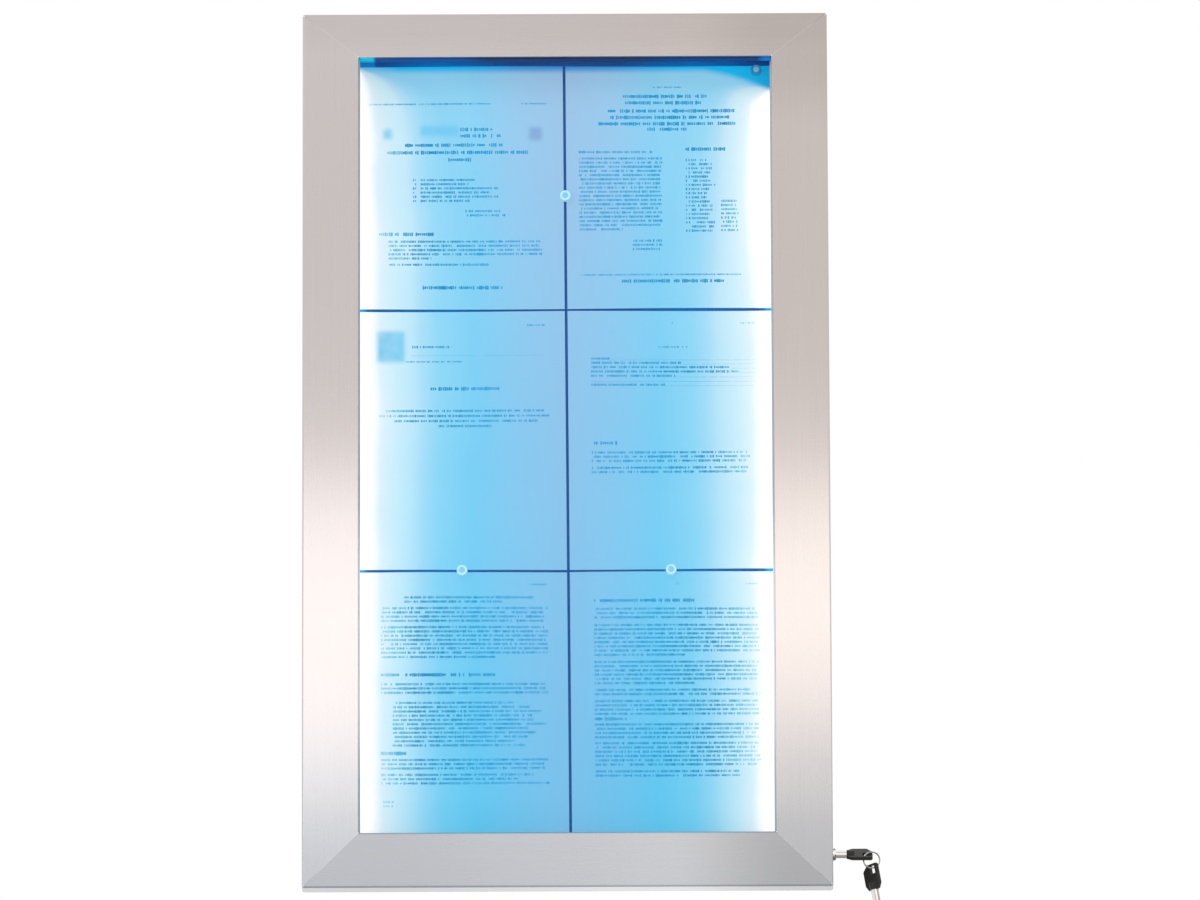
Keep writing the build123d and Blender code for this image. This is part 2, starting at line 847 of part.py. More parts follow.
def strike_screw(z):
    """Small screw through the strike bracket's base into the tray's flange."""
    seat = tray_front - strike_gauge
    head = rod_y(strike_screw_head_radius, seat - strike_screw_head_depth, seat, strike_x(), z)
    return head + rod_y(strike_screw_radius, seat, seat + strike_screw_length, strike_x(), z)


def key_shank():
    """Tubular shank, modelled along +X from the tip."""
    tube = rod_x(shank_radius, 0, shank_length, 0, 0)
    return tube - rod_x(shank_bore_radius, 0, shank_length - shank_in_bow, 0, 0)


def key_bow():
    """Moulded bow with a slanted end and a slot beside its middle, modelled along +X from the shank's side."""
    short_side = [
        (0, bow_shank_half),
        (bow_side_start, bow_half),
        (bow_short_side_end, bow_half),
        (bow_length, bow_short_half),
    ]
    long_side = [
        (bow_length, -bow_long_half),
        (bow_long_side_end, -bow_half),
        (bow_side_start, -bow_half),
        (0, -bow_shank_half),
    ]
    outline = make_face(Polyline(*short_side, *long_side, close=True))
    outline = fillet(outline.vertices(), bow_corner_round)
    plate = extrude(outline, bow_gauge / 2, both=True)
    plate = fillet(plate.edges().group_by(Axis.Z)[-1] + plate.edges().group_by(Axis.Z)[0], bow_round)
    slot_middle = slot_start + slot_length / 2
    slot = Pos(slot_middle, -slot_aside, 0) * RectangleRounded(slot_length, 2 * slot_half, slot_round)
    plate -= extrude(slot, bow_gauge, both=True)
    return plate


def key_pair():
    """Shank and bow of one key, along +X with the shank's tip at the origin."""
    shank = key_shank()
    bow_start = shank_length - shank_in_bow
    bow = Pos(bow_start, 0, 0) * key_bow()
    collar = rod_x(shank_radius + collar_wall, bow_start, bow_start + collar_length, 0, 0)
    bow = bow + collar - rod_x(shank_radius, 0, shank_length, 0, 0)
    return shank, bow


def ring_place():
    """Middle of the ring: it hangs on the bar at the end of the key's bow."""
    tilt = radians(key_tilt)
    bar_x = bow_x + bow_length - slot_bar / 2
    bar_y = lock_y - slot_aside * cos(tilt)
    bar_z = lock_z - slot_aside * sin(tilt)
    bar_top = bow_gauge / 2 / cos(tilt)
    inside = ring_radius - ring_wire_radius - ring_play
    drop = sqrt(inside**2 - (slot_bar / 2) ** 2) - bar_top
    return bar_x, bar_y, bar_z - drop


def key_ring():
    """Wire ring through the two bows."""
    return Pos(*ring_place()) * Rot(90, 0, 0) * Torus(ring_radius, ring_wire_radius)


def in_lock(piece):
    """Place a key in the lock with its bow tilted."""
    return Pos(rose_x - shank_inserted, lock_y, lock_z) * Rot(key_tilt, 0, 0) * piece


def on_ring(piece):
    """Hang the spare key from the bottom of the ring, leaning away from the door."""
    x, y, z = ring_place()
    top = z - ring_radius + ring_wire_radius + spare_hang_play + slot_bar
    length = shank_length - shank_in_bow + bow_length
    hang = Pos(0, 0, top - z - length) * Rot(0, 0, spare_yaw) * Rot(0, -90, 0) * Rot(90, 0, 0)
    return Pos(x, y, z) * Rot(0, -spare_lean, 0) * hang * Pos(0, slot_aside, 0) * piece


os.makedirs("parts", exist_ok=True)

save("back_panel", back_panel())
save("tray_left_side", tray_side(-1))
save("tray_right_side", tray_side(1))
save("tray_top", tray_end(1))
save("tray_bottom", tray_end(-1))
save("magnet_board", magnet_board())
save("board_spacers", *[board_spacer(x, z) for x, z in board_screws])
save("board_screws", *[board_screw(x, z) for x, z in board_screws])
for side_name, hand in (("left", -1), ("right", 1)):
    save(f"light_channel_{side_name}", light_channel(hand))
    save(f"light_strip_{side_name}", light_strip(hand))
    save(f"light_chips_{side_name}", *light_chips(hand))
    save(f"light_cover_{side_name}", light_cover(hand))
    save(f"light_lead_{side_name}", light_lead(hand))
    for row_name in sheet_rows:
        save(f"sheet_{row_name}_{side_name}", notice_sheet(row_name, hand))
cap_spots = [(hand, end) for hand in (-1, 1) for end in (-1, 1)]
save("light_end_caps", *[end_cap(hand, end) for hand, end in cap_spots])
save("light_cap_screws", *[end_cap_screw(hand, end) for hand, end in cap_spots])
save("terminal_block", terminal_block())
save("cable_grommet", cable_grommet())
save("magnet_caps", *[magnet_cap(x, z) for x, z in magnets])
save("magnet_discs", *[magnet_disc(x, z) for x, z in magnets])
save("door_seal", *door_seal())
save("strike_bracket", strike_bracket())
save("strike_screws", *[strike_screw(z) for z in strike_screw_heights()])
save("hinge_case_leaves", *[hinge_case_leaf(height) for height in hinge_heights])
save("hinge_case_rivets", *[case_rivet(y, z) for h in hinge_heights for y, z in case_rivet_spots(h)])
save("hinge_pins", *[hinge_pin(height) for height in hinge_heights])

for member_name, member in door_members().items():
    save(member_name, member)
save("door_pane", door_pane())
save("pane_gasket", pane_gasket())
save("clip_studs", *[clip_stud(x, z) for x, z, _, _ in clip_spots])
save("pane_clips", *[pane_clip(*spot) for spot in clip_spots])
save("clip_nuts", *[clip_nut(x, z) for x, z, _, _ in clip_spots])
save("corner_brackets", *[corner_bracket(sx, sz) for sx in (-1, 1) for sz in (-1, 1)])
save("hinge_door_leaves", *[hinge_door_leaf(height) for height in hinge_heights])
save("hinge_door_rivets", *[door_rivet(x, z) for h in hinge_heights for x, z in door_rivet_spots(h)])
save("lock_housing", lock_housing())
save("lock_nut", lock_nut())

save("lock_plug", lock_plug())
save("lock_cam", lock_cam())
save("cam_screw", cam_screw())

shank, bow = key_pair()
save("key_shank", in_lock(shank))
save("key_bow", in_lock(bow))
save("key_ring", key_ring())
save("spare_key_shank", on_ring(shank))
save("spare_key_bow", on_ring(bow))
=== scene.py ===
# %% [markdown]
# # A lit information case
# The real thing hangs on a wall: a shallow steel tray, a glazed door with a brushed and mitred frame,
# six printed sheets held by magnets on a dark board, and a strip of lamps down each side.
# Its solids come in as a fixed frame at their real size, in metres, and everything here is made
# around them, so nothing has to be fitted by eye.

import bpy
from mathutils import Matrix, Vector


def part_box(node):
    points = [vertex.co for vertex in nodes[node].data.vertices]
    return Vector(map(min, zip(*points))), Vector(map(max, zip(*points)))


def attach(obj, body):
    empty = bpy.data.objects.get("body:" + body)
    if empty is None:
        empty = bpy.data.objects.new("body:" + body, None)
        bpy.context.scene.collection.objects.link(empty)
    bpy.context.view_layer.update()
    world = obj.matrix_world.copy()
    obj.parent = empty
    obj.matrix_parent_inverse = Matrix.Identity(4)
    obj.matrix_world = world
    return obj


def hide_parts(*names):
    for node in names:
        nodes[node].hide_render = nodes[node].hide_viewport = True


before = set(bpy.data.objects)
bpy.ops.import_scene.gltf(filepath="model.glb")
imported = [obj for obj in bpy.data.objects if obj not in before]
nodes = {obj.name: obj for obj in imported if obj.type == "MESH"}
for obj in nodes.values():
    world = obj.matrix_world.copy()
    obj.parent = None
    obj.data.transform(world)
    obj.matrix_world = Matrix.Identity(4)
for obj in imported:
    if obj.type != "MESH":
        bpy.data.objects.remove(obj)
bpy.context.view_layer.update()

# %% Sizes read from the solids
import math
import random

import bmesh
import bpy
from mathutils import Quaternion, Vector

MM = 0.001

scene = bpy.context.scene
open_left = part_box("door_left_stile")[1].x
open_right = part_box("door_right_stile")[0].x
open_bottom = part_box("door_bottom_rail")[1].z
open_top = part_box("door_top_rail")[0].z
face_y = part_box("door_top_rail")[0].y
print("opening:", round(open_right - open_left, 4), "by", round(open_top - open_bottom, 4))

# %% [markdown]
# ## Camera
# The picture was taken from far back and from below: the uprights lean together only a little, and the
# underside of the door shows as a thin strip. A long lens sixteen metres away gives the same drawing.
# The camera is turned a little about its own line of sight, because the case hangs slightly out of level
# in the picture, and turning the camera leaves the object itself square.

# %% Camera
PHOTO_WIDTH = 1200
PHOTO_SCALE = 959.6
AIM = (0.0353, -0.0035)
VIEW_RISE = math.radians(14.5)
CAMERA_DISTANCE = 16.0
CAMERA_ROLL = math.radians(-0.225)
SENSOR_WIDTH = 36.0

aim = Vector((AIM[0], face_y, AIM[1]))
towards_camera = Vector((0, -math.cos(VIEW_RISE), -math.sin(VIEW_RISE)))
camera_data = bpy.data.cameras.new("camera")
camera_data.sensor_width = SENSOR_WIDTH
camera_data.lens = SENSOR_WIDTH * CAMERA_DISTANCE * PHOTO_SCALE / PHOTO_WIDTH
camera = bpy.data.objects.new("camera", camera_data)
camera.location = aim + towards_camera * CAMERA_DISTANCE
camera.rotation_mode = "QUATERNION"
line_of_sight = (-towards_camera).to_track_quat("-Z", "Y")
camera.rotation_quaternion = line_of_sight @ Quaternion((0, 0, 1), CAMERA_ROLL)
scene.collection.objects.link(camera)
scene.camera = camera
print("lens:", round(camera_data.lens, 1), "mm, camera at", [round(v, 3) for v in camera.location])

# %% [markdown]
# ## Helpers
# A material is a tree of nodes. The first helpers add one node, fill its sockets with numbers or with links
# from earlier nodes, and hand back an output, so that each finish below reads as a few short lines. The
# others turn a shape into a mesh, bake its modifiers and say which solids it stands for.

# %% Nodes and arithmetic
def fill(tree, node, values):
    """Link an output to each named socket of a node, or set a plain value on it."""
    for name, value in values.items():
        if isinstance(value, bpy.types.NodeSocket):
            tree.links.new(value, node.inputs[name])
        else:
            node.inputs[name].default_value = value


def add(tree, kind, inputs, output=0, **settings):
    """Add a node, set it, fill its sockets and return one of its outputs."""
    node = tree.nodes.new(kind)
    for name, value in settings.items():
        setattr(node, name, value)
    fill(tree, node, inputs)
    return node.outputs[output]


def calc(tree, operation, *terms, clamp=False):
    """Arithmetic on numbers or outputs."""
    return add(tree, "ShaderNodeMath", dict(enumerate(terms)), operation=operation, use_clamp=clamp)


def times(tree, first, *others):
    """A product of numbers or outputs."""
    for other in others:
        first = calc(tree, "MULTIPLY", first, other)
    return first


def axes(tree, place):
    """How far a point is to the right, to the back and up."""
    split = tree.nodes.new("ShaderNodeSeparateXYZ")
    fill(tree, split, {0: place})
    return list(split.outputs)


def noise(tree, place, scale, detail=2.0, stretch=(1, 1, 1)):
    """Soft noise from 0 to 1, squeezed along the axes by stretch."""
    squeezed = add(tree, "ShaderNodeMapping", {"Vector": place, "Scale": stretch})
    return add(tree, "ShaderNodeTexNoise", {"Vector": squeezed, "Scale": scale, "Detail": detail})


def between(tree, value, low, high, start=0.0, end=1.0, kind="LINEAR"):
    """A value moved from the range start to end into the range low to high, and held there."""
    sockets = {"Value": value, "From Min": start, "From Max": end, "To Min": low, "To Max": high}
    return add(tree, "ShaderNodeMapRange", sockets, interpolation_type=kind)


def eased(tree, value, low, high, start, end):
    """The same with a smooth start and end."""
    return between(tree, value, low, high, start, end, "SMOOTHSTEP")


print("nodes and arithmetic ready")

# %% Colours
WHITE = (1, 1, 1, 1)
BLACK = (0, 0, 0, 1)


def display(red, green, blue):
    """A colour as it is seen on a screen, 0 to 255, as linear light."""
    def channel(value):
        share = value / 255
        return share / 12.92 if share <= 0.04045 else ((share + 0.055) / 1.055) ** 2.4
    return (channel(red), channel(green), channel(blue), 1.0)


def mixed(tree, share, first, second, mode="MIX"):
    """Two colours mixed by a share from 0 to 1."""
    sockets = {0: share, 6: first, 7: second}
    return add(tree, "ShaderNodeMix", sockets, output=2, data_type="RGBA", blend_type=mode)


def dimmed(tree, colour, level):
    """A colour times another colour or a number."""
    return mixed(tree, 1.0, colour, level, "MULTIPLY")


def ramp(tree, share, stops):
    """A colour read from stops of (place, colour) along 0 to 1."""
    node = tree.nodes.new("ShaderNodeValToRGB")
    elements = node.color_ramp.elements
    elements[0].position = stops[0][0]
    elements[1].position = stops[-1][0]
    for place, _ in stops[1:-1]:
        elements.new(place)
    for element, (_, colour) in zip(elements, stops):
        element.color = display(*colour)
    tree.links.new(share, node.inputs[0])
    return node.outputs[0]


print("middle grey as linear light:", [round(v, 3) for v in display(128, 128, 128)])

# %% New finishes
def new_finish(name):
    """A material with one shader, its tree and the surface's own coordinates."""
    finish = bpy.data.materials.new(name)
    finish.use_nodes = True
    tree = finish.node_tree
    place = add(tree, "ShaderNodeTexCoord", {}, output="Object")
    return finish, tree, tree.nodes["Principled BSDF"], place


def roughen(tree, shader, height, strength, depth):
    """Bump the surface by a height."""
    bump = add(tree, "ShaderNodeBump", {"Height": height, "Strength": strength, "Distance": depth})
    fill(tree, shader, {"Normal": bump})


print("new finishes ready")

# %% Helpers for meshes
WELD = 1e-6
SHARP_ANGLE = math.radians(32)


def link(name, data):
    """Put a mesh or a lamp in the scene."""
    thing = bpy.data.objects.new(name, data)
    scene.collection.objects.link(thing)
    return thing


def made(name, shape):
    """A finished shape as an object at the origin."""
    mesh = bpy.data.meshes.new(name)
    shape.to_mesh(mesh)
    shape.free()
    return link(name, mesh)


def shade(mesh):
    """Smooth curved faces and keep corners crisp."""
    mesh.polygons.foreach_set("use_smooth", [True] * len(mesh.polygons))
    mesh.set_sharp_from_angle(angle=SHARP_ANGLE)


def welded(node):
    """A shape like a solid, with its loose triangles welded."""
    shape = bmesh.new()
    shape.from_mesh(nodes[node].data)
    bmesh.ops.remove_doubles(shape, verts=shape.verts, dist=WELD)
    return shape


def bridge(shape, rings):
    """Faces between each ring of points and the next. A ring of one point ends in a fan."""
    sides = max(map(len, rings))
    for first, second in zip(rings, rings[1:]):
        for i in range(sides):
            j = (i + 1) % sides
            corners = [first[k % len(first)] for k in (i, j)] + [second[k % len(second)] for k in (j, i)]
            shape.faces.new(list(dict.fromkeys(corners)))


def bake(piece):
    """Replace a piece's live modifiers by the mesh that they give."""
    evaluated = piece.evaluated_get(bpy.context.evaluated_depsgraph_get())
    mesh = bpy.data.meshes.new_from_object(evaluated)
    piece.modifiers.clear()
    piece.data = mesh
    mesh.name = piece.name
    return mesh


def ready(piece, body, slot, finish, *replaced):
    """Give a piece its finish, let it ride on a body and stand for its solids."""
    piece.data.materials.clear()
    piece.data.materials.append(finish)
    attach(piece, body)
    if replaced:
        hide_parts(*replaced)
    print(piece.name, "faces:", len(piece.data.polygons))


print("helpers for meshes ready")

# %% [markdown]
# ## Light
# The picture is a cut-out on white, so the world is plain white wherever the camera, a reflection or a
# clear pane looks at it, while the light that reaches the surfaces is kept at a plain level by Light Path.
# The broad pale band across the uprights is the mirror image of a long lamp in front of the case. An area
# lamp makes it here. It is placed where a line from the camera, bounced off the door, would meet it.

# %% World
DAYLIGHT = (0.80, 0.82, 0.85, 1.0)

world = bpy.data.worlds.new("studio")
world.use_nodes = True
scene.world = world
scene.view_settings.view_transform = "Standard"
sky = world.node_tree
sky.nodes.clear()
ray = sky.nodes.new("ShaderNodeLightPath")
seen = calc(sky, "MAXIMUM", ray.outputs["Is Camera Ray"], ray.outputs["Is Glossy Ray"])
seen = calc(sky, "MAXIMUM", seen, ray.outputs["Is Transmission Ray"])
lighting = add(sky, "ShaderNodeBackground", {"Color": DAYLIGHT, "Strength": 1.0})
white = add(sky, "ShaderNodeBackground", {"Color": WHITE, "Strength": 1.0})
choice = add(sky, "ShaderNodeMixShader", {0: seen, 1: lighting, 2: white})
fill(sky, sky.nodes.new("ShaderNodeOutputWorld"), {"Surface": choice})
print("world:", world.name)

# %% Lamps
LAMP_AHEAD = 1.2
LAMP_RADIANCE = 1.05
BAND_COLOUR = (1.0, 0.995, 0.985)

# The band on each upright: middle of its lamp across, width, height of the band's middle, height of the lamp
BANDS = {"left": (-0.72, 1.4, -0.207, 0.36), "right": (0.72, 1.4, -0.166, 0.26)}

# The other lamps: place, target, size, power and colour
ROOM_LAMPS = {
    "side_lamp": ((-2.6, -2.4, 2.6), (0, 0, 0), (1.6, 1.6), 45.0, (1.0, 0.99, 0.98)),
    "wall_lamp": ((0, 1.6, -1.0), (0, 0, -0.47), (2.4, 0.9), 5.0, (1.0, 0.98, 0.95)),
}


def panel_lamp(name, place, target, size, power, colour):
    """A soft rectangular lamp that the camera does not see."""
    data = bpy.data.lights.new(name, "AREA")
    data.shape = "RECTANGLE"
    data.size, data.size_y = size
    data.energy = power
    data.color = colour
    lamp = link(name, data)
    lamp.location = place
    lamp.rotation_euler = (Vector(target) - Vector(place)).to_track_quat("-Z", "Y").to_euler()
    lamp.visible_camera = False
    print(name, round(power, 2), "W at", [round(v, 3) for v in place])


for side, (middle, width, height, tall) in BANDS.items():
    band_point = Vector((middle, face_y, height))
    bounced_rise = (camera.location.z - height) / (camera.location.y - face_y)
    lamp_place = band_point + Vector((0, -LAMP_AHEAD, LAMP_AHEAD * bounced_rise))
    power = LAMP_RADIANCE * math.pi * width * tall
    panel_lamp(f"band_lamp_{side}", lamp_place, band_point, (width, tall), power, BAND_COLOUR)
for name, values in ROOM_LAMPS.items():
    panel_lamp(name, *values)

# %% Floor
FLOOR_HEIGHT = -4.6
FLOOR_RADIUS = 8.0
FLOOR_SIDES = 96
FLOOR_GREYS = (0.78, 0.84)

disc = bmesh.new()
bmesh.ops.create_circle(disc, cap_ends=True, segments=FLOOR_SIDES, radius=FLOOR_RADIUS)
bmesh.ops.translate(disc, verts=disc.verts, vec=(0, 0, FLOOR_HEIGHT))
floor = made("floor", disc)
pale_floor, tree, shader, place = new_finish("pale_floor")
grey = between(tree, noise(tree, place, 3.0), *FLOOR_GREYS)
fill(tree, shader, {"Base Color": grey, "Roughness": 0.9})
floor.data.materials.append(pale_floor)
print("floor:", FLOOR_RADIUS * 2, "m across")

# %% [markdown]
# ## Brushed steel
# The door frame is stainless sheet, brushed along each member. Brushing leaves fine grooves, which spread a
# reflection across the grain and keep it tight along it. That is anisotropy: the shader needs to know the
# direction of the grain, and gets it from a UV map laid along each member. Streaks of stretched noise vary
# the colour, the roughness and the bump. The lip around the opening also takes the light of the sheets: grey
# beside them, paler in the band, and blue under the top rail.
# Its colour also carries painted light: a painted reflection warmer above and cooler at the foot, painted shade
# to the right, at the foot, along the head and in the upper right corner, and a painted highlight in the middle
# of the bottom rail.

# %% Light on the lip
BAND_EDGE = (0.06, 0.17)
STRIP_MIDDLE = display(30, 68, 124)
STRIP_LEFT = display(0, 98, 178)
STRIP_RIGHT = display(3, 80, 150)
STRIP_LEFT_END = display(0, 226, 255)
STRIP_RIGHT_END = display(4, 168, 250)
STRIP_TURN = (75 * MM, 115 * MM)
LEFT_END = (open_left + 15 * MM, open_left + 18 * MM)
RIGHT_END = (open_right - 15 * MM, open_right - 6 * MM)


def band_share(tree, height):
    """1 in the middle of the pale band, 0 away from it."""
    off_band = calc(tree, "ABSOLUTE", calc(tree, "SUBTRACT", height, BANDS["left"][2]))
    return eased(tree, off_band, 1.0, 0.0, *BAND_EDGE)


def head_tone(tree, across):
    """The blue of the strip under the top rail: darker in the middle, lit at its ends."""
    left = eased(tree, across, 1.0, 0.0, -STRIP_TURN[1], -STRIP_TURN[0])
    tone = mixed(tree, left, STRIP_MIDDLE, STRIP_LEFT)
    tone = mixed(tree, eased(tree, across, 0.0, 1.0, *STRIP_TURN), tone, STRIP_RIGHT)
    tone = mixed(tree, between(tree, across, 1.0, 0.0, *LEFT_END), tone, STRIP_LEFT_END)
    return mixed(tree, between(tree, across, 0.0, 1.0, *RIGHT_END), tone, STRIP_RIGHT_END)


print("strip lit within", [round(v, 4) for v in (*LEFT_END, *RIGHT_END)])

# %% Tones and shades of the steel
# Painted reflection and shade: the steel's colour is warmer above, cooler and bluer at the foot, and darker and
# warmer to the right
STEEL_TOP = display(198, 190, 188)
STEEL_FOOT = display(187, 189, 194)
STEEL_RISE = (-0.47, -0.2)
STEEL_RIGHT_SHADE = (0.985, 0.965, 0.94, 1.0)
RIGHT_SHADE_SPREAD = (-0.1, 0.25)
LIP_HEAD = (open_top - 4 * MM, open_top - 1 * MM)
LIP_SHARE = 0.9
SHADOW_TONE = display(122, 144, 164)
SHADOW_SHARE = 0.85
SHADOW_START = (open_bottom - 2.0 * MM, open_bottom - 0.5 * MM)
SHADOW_END = (open_bottom, open_bottom + 0.5 * MM)

# Painted shade at the foot of the door, with a painted highlight in the middle of the bottom rail: the heights
# it spreads over, and its level at left, middle and right
FOOT_UPRIGHT = ((-0.42, -0.36), (1.0, 1.0, 0.92))
FOOT_LEVEL = ((open_bottom, open_bottom + 8 * MM), (0.81, 1.04, 0.72))
FOOT_FROM_LEFT = (-0.19, 0.13)
FOOT_TO_RIGHT = (0.10, 0.24)

# Shade along the head, and more of it in the upper right corner
HEAD_LEVEL = 0.955
HEAD_HEIGHTS = (0.425, 0.45)
CORNER_SHADE = 0.11
CORNER_ACROSS = (0.12, 0.22)
CORNER_HEIGHTS = (0.34, 0.41)
print("shade at the foot:", FOOT_UPRIGHT, FOOT_LEVEL)

# %% Brushed steel finish
HAIR_SCALE = 0.22
STREAK = 0.03
CLOUD = 0.015
CLOUD_SCALE = 7.0
ROUGH = (0.25, 0.29)
ROUGH_CLOUD = (-0.02, 0.03)
GRAIN_DEPTH = 0.03 * MM
ANISOTROPY = 0.8


def brushed_steel(name, stretch, tint=None, foot_shade=FOOT_UPRIGHT, shadow=False):
    """Stainless sheet with its grain along the axis that stretch leaves short, with painted reflection, shade
    and highlight in its colour, and tinted by the lamps' light.
    """
    finish, tree, shader, place = new_finish(name)
    lines = noise(tree, place, 1.0, 3.0, stretch)
    hairs = noise(tree, place, 1.0, 1.0, [v * HAIR_SCALE for v in stretch])
    clouds = noise(tree, place, CLOUD_SCALE, 3.0)
    across, _, height = axes(tree, place)
    # Painted reflection: warmer above and cooler at the foot; painted shade: darker and warmer to the right
    tone = mixed(tree, eased(tree, height, 0.0, 1.0, *STEEL_RISE), STEEL_FOOT, STEEL_TOP)
    right = mixed(tree, eased(tree, across, 0.0, 1.0, *RIGHT_SHADE_SPREAD), WHITE, STEEL_RIGHT_SHADE)
    tone = dimmed(tree, tone, right)
    if tint:
        beside = mixed(tree, band_share(tree, height), display(*tint[0]), display(*tint[1]))
        at_head = between(tree, height, 0.0, 1.0, *LIP_HEAD)
        tone = mixed(tree, LIP_SHARE, tone, mixed(tree, at_head, beside, head_tone(tree, across)))
    if shadow:
        under = between(tree, height, 0.0, SHADOW_SHARE, *SHADOW_START)
        tone = mixed(tree, times(tree, under, between(tree, height, 1.0, 0.0, *SHADOW_END)), tone, SHADOW_TONE)
    streak = between(tree, lines, -STREAK, STREAK)
    streak = calc(tree, "ADD", streak, between(tree, hairs, -STREAK / 2, STREAK / 2))
    level = calc(tree, "ADD", calc(tree, "ADD", streak, 1.0), between(tree, clouds, -CLOUD, CLOUD))
    # Painted shade at the foot, with a painted highlight in the middle of the bottom rail, and painted shade
    # along the head and in the upper right corner
    heights, (at_left, in_middle, at_right) = foot_shade
    foot = eased(tree, height, 1.0, 0.0, *heights)
    foot_level = eased(tree, across, at_left, in_middle, *FOOT_FROM_LEFT)
    foot_level = times(tree, foot_level, eased(tree, across, 1.0, at_right, *FOOT_TO_RIGHT))
    foot_level = calc(tree, "MULTIPLY_ADD", foot, calc(tree, "SUBTRACT", foot_level, 1.0), 1.0)
    head_level = eased(tree, height, 1.0, HEAD_LEVEL, *HEAD_HEIGHTS)
    corner = eased(tree, across, 0.0, CORNER_SHADE, *CORNER_ACROSS)
    corner = times(tree, corner, eased(tree, height, 0.0, 1.0, *CORNER_HEIGHTS))
    level = times(tree, level, foot_level, head_level, calc(tree, "SUBTRACT", 1.0, corner))
    rough = calc(tree, "ADD", between(tree, lines, *ROUGH), between(tree, clouds, *ROUGH_CLOUD))
    tangent = add(tree, "ShaderNodeTangent", {}, direction_type="UV_MAP", uv_map="grain")
    fill(tree, shader, {
        "Base Color": dimmed(tree, tone, level), "Roughness": rough, "Tangent": tangent,
        "Metallic": 1.0, "Anisotropic": ANISOTROPY,
    })
    roughen(tree, shader, lines, 0.05, GRAIN_DEPTH)
    return finish


FINE, LONG = 1300, 16
steel_upright = brushed_steel("steel_upright", (FINE, FINE, LONG))
steel_level = brushed_steel("steel_level", (LONG, FINE, FINE), foot_shade=FOOT_LEVEL, shadow=True)
lip_steel = brushed_steel("lip_steel", (LONG, FINE, LONG), ((166, 176, 183), (222, 224, 226)))
print("brushed steel:", steel_upright.name, steel_level.name, lip_steel.name)

# %% Door frame
FLAT_ANGLE = math.radians(0.5)
EDGE_ROUND = 0.4 * MM
LIP_REACH = 0.9 * MM


def frame_member(node, along, finish):
    """A folded door member with its edges eased, its grain mapped along it and its lip in lip_steel."""
    shape = welded(node)
    bmesh.ops.dissolve_limit(shape, angle_limit=FLAT_ANGLE, verts=shape.verts, edges=shape.edges)
    piece = made(node.replace("door", "brushed"), shape)
    bevel = piece.modifiers.new("ease", "BEVEL")
    bevel.width = EDGE_ROUND
    bevel.segments = 2
    bevel.limit_method = "ANGLE"
    bevel.angle_limit = SHARP_ANGLE
    shade(piece.data)
    piece.modifiers.new("even", "WEIGHTED_NORMAL").keep_sharp = True
    mesh = bake(piece)
    across = 0 if along == 2 else 2
    low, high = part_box(node)
    middle = (low[across] + high[across]) / 2
    grain = mesh.uv_layers.new(name="grain")
    for loop in mesh.loops:
        spot = mesh.vertices[loop.vertex_index].co
        side = 1 if spot[across] > middle else -1
        grain.data[loop.index].uv = (spot[across] + side * (spot.y - face_y), spot[along])
    ready(piece, "door", "brushed_steel", finish, node)
    mesh.materials.append(lip_steel)
    for face in mesh.polygons:
        spot = face.center
        inside = open_left - LIP_REACH < spot.x < open_right + LIP_REACH
        inside = inside and open_bottom - LIP_REACH < spot.z < open_top + LIP_REACH
        if inside and spot.y > face_y + LIP_REACH:
            face.material_index = 1


frame_member("door_left_stile", 2, steel_upright)
frame_member("door_right_stile", 2, steel_upright)
frame_member("door_top_rail", 0, steel_level)
frame_member("door_bottom_rail", 0, steel_level)

# %% [markdown]
# ## Light on the sheets
# The lamps behind the uprights flood the sheets from both sides: white beside the frame, cyan further in,
# and a greyer blue in the middle. Lamps this small would need thousands of samples to render without grain,
# so the paper carries that light in its own colour instead: a ramp over the distance from the nearer
# upright, one for the head of the case and one for its foot, mixed by height and stirred by a little noise.
# Towards the head the light is pressed to the sides, and a shade lies along the top edge and in the right
# corner. The printing uses the same distance, because ink fades to pale where the light is strongest.

# %% How far in the light reaches
HALF_OPENING = (open_right - open_left) / 2
TOP_REACH = 2.7 * MM
WANDER = 0.035
WANDER_SCALE = (5, 0, 11)
PRESS_BASE = 1.1
PRESS_REACH = 220 * MM
PRESS_POWER = -1.5
PRESS_NEAR = 80 * MM**1.5
PRESS_LIMIT = 0.52
PRESS_LEAST = 2 * MM
RIGHT_FLOOD = 9 * MM
FLOOD_HEIGHTS = (open_top - 258 * MM, open_top - 188 * MM)
FLOOD_ACROSS = (open_right - 60 * MM, open_right - 25 * MM)
FLOOD_BELOW = (8 * MM, 30 * MM)
CORNER_START = 0.145
CORNER_SLOPE = 0.14
CORNER_CURVE = 2.3

paper_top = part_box("sheet_top_left")[1].z + TOP_REACH


def corner_level(tree, across, height):
    """The height of a point, raised in the right corner, where the shade at the head reaches further down."""
    past = calc(tree, "MAXIMUM", calc(tree, "SUBTRACT", across, CORNER_START), 0.0)
    slope = calc(tree, "MULTIPLY_ADD", past, CORNER_CURVE, CORNER_SLOPE)
    return calc(tree, "MULTIPLY_ADD", past, slope, height)


def side_share(tree, across):
    """How far a point is from the nearer upright, 0 at the frame and 1 in the middle."""
    off_middle = calc(tree, "ABSOLUTE", across)
    return calc(tree, "SUBTRACT", 1.0, calc(tree, "DIVIDE", off_middle, HALF_OPENING), clamp=True)


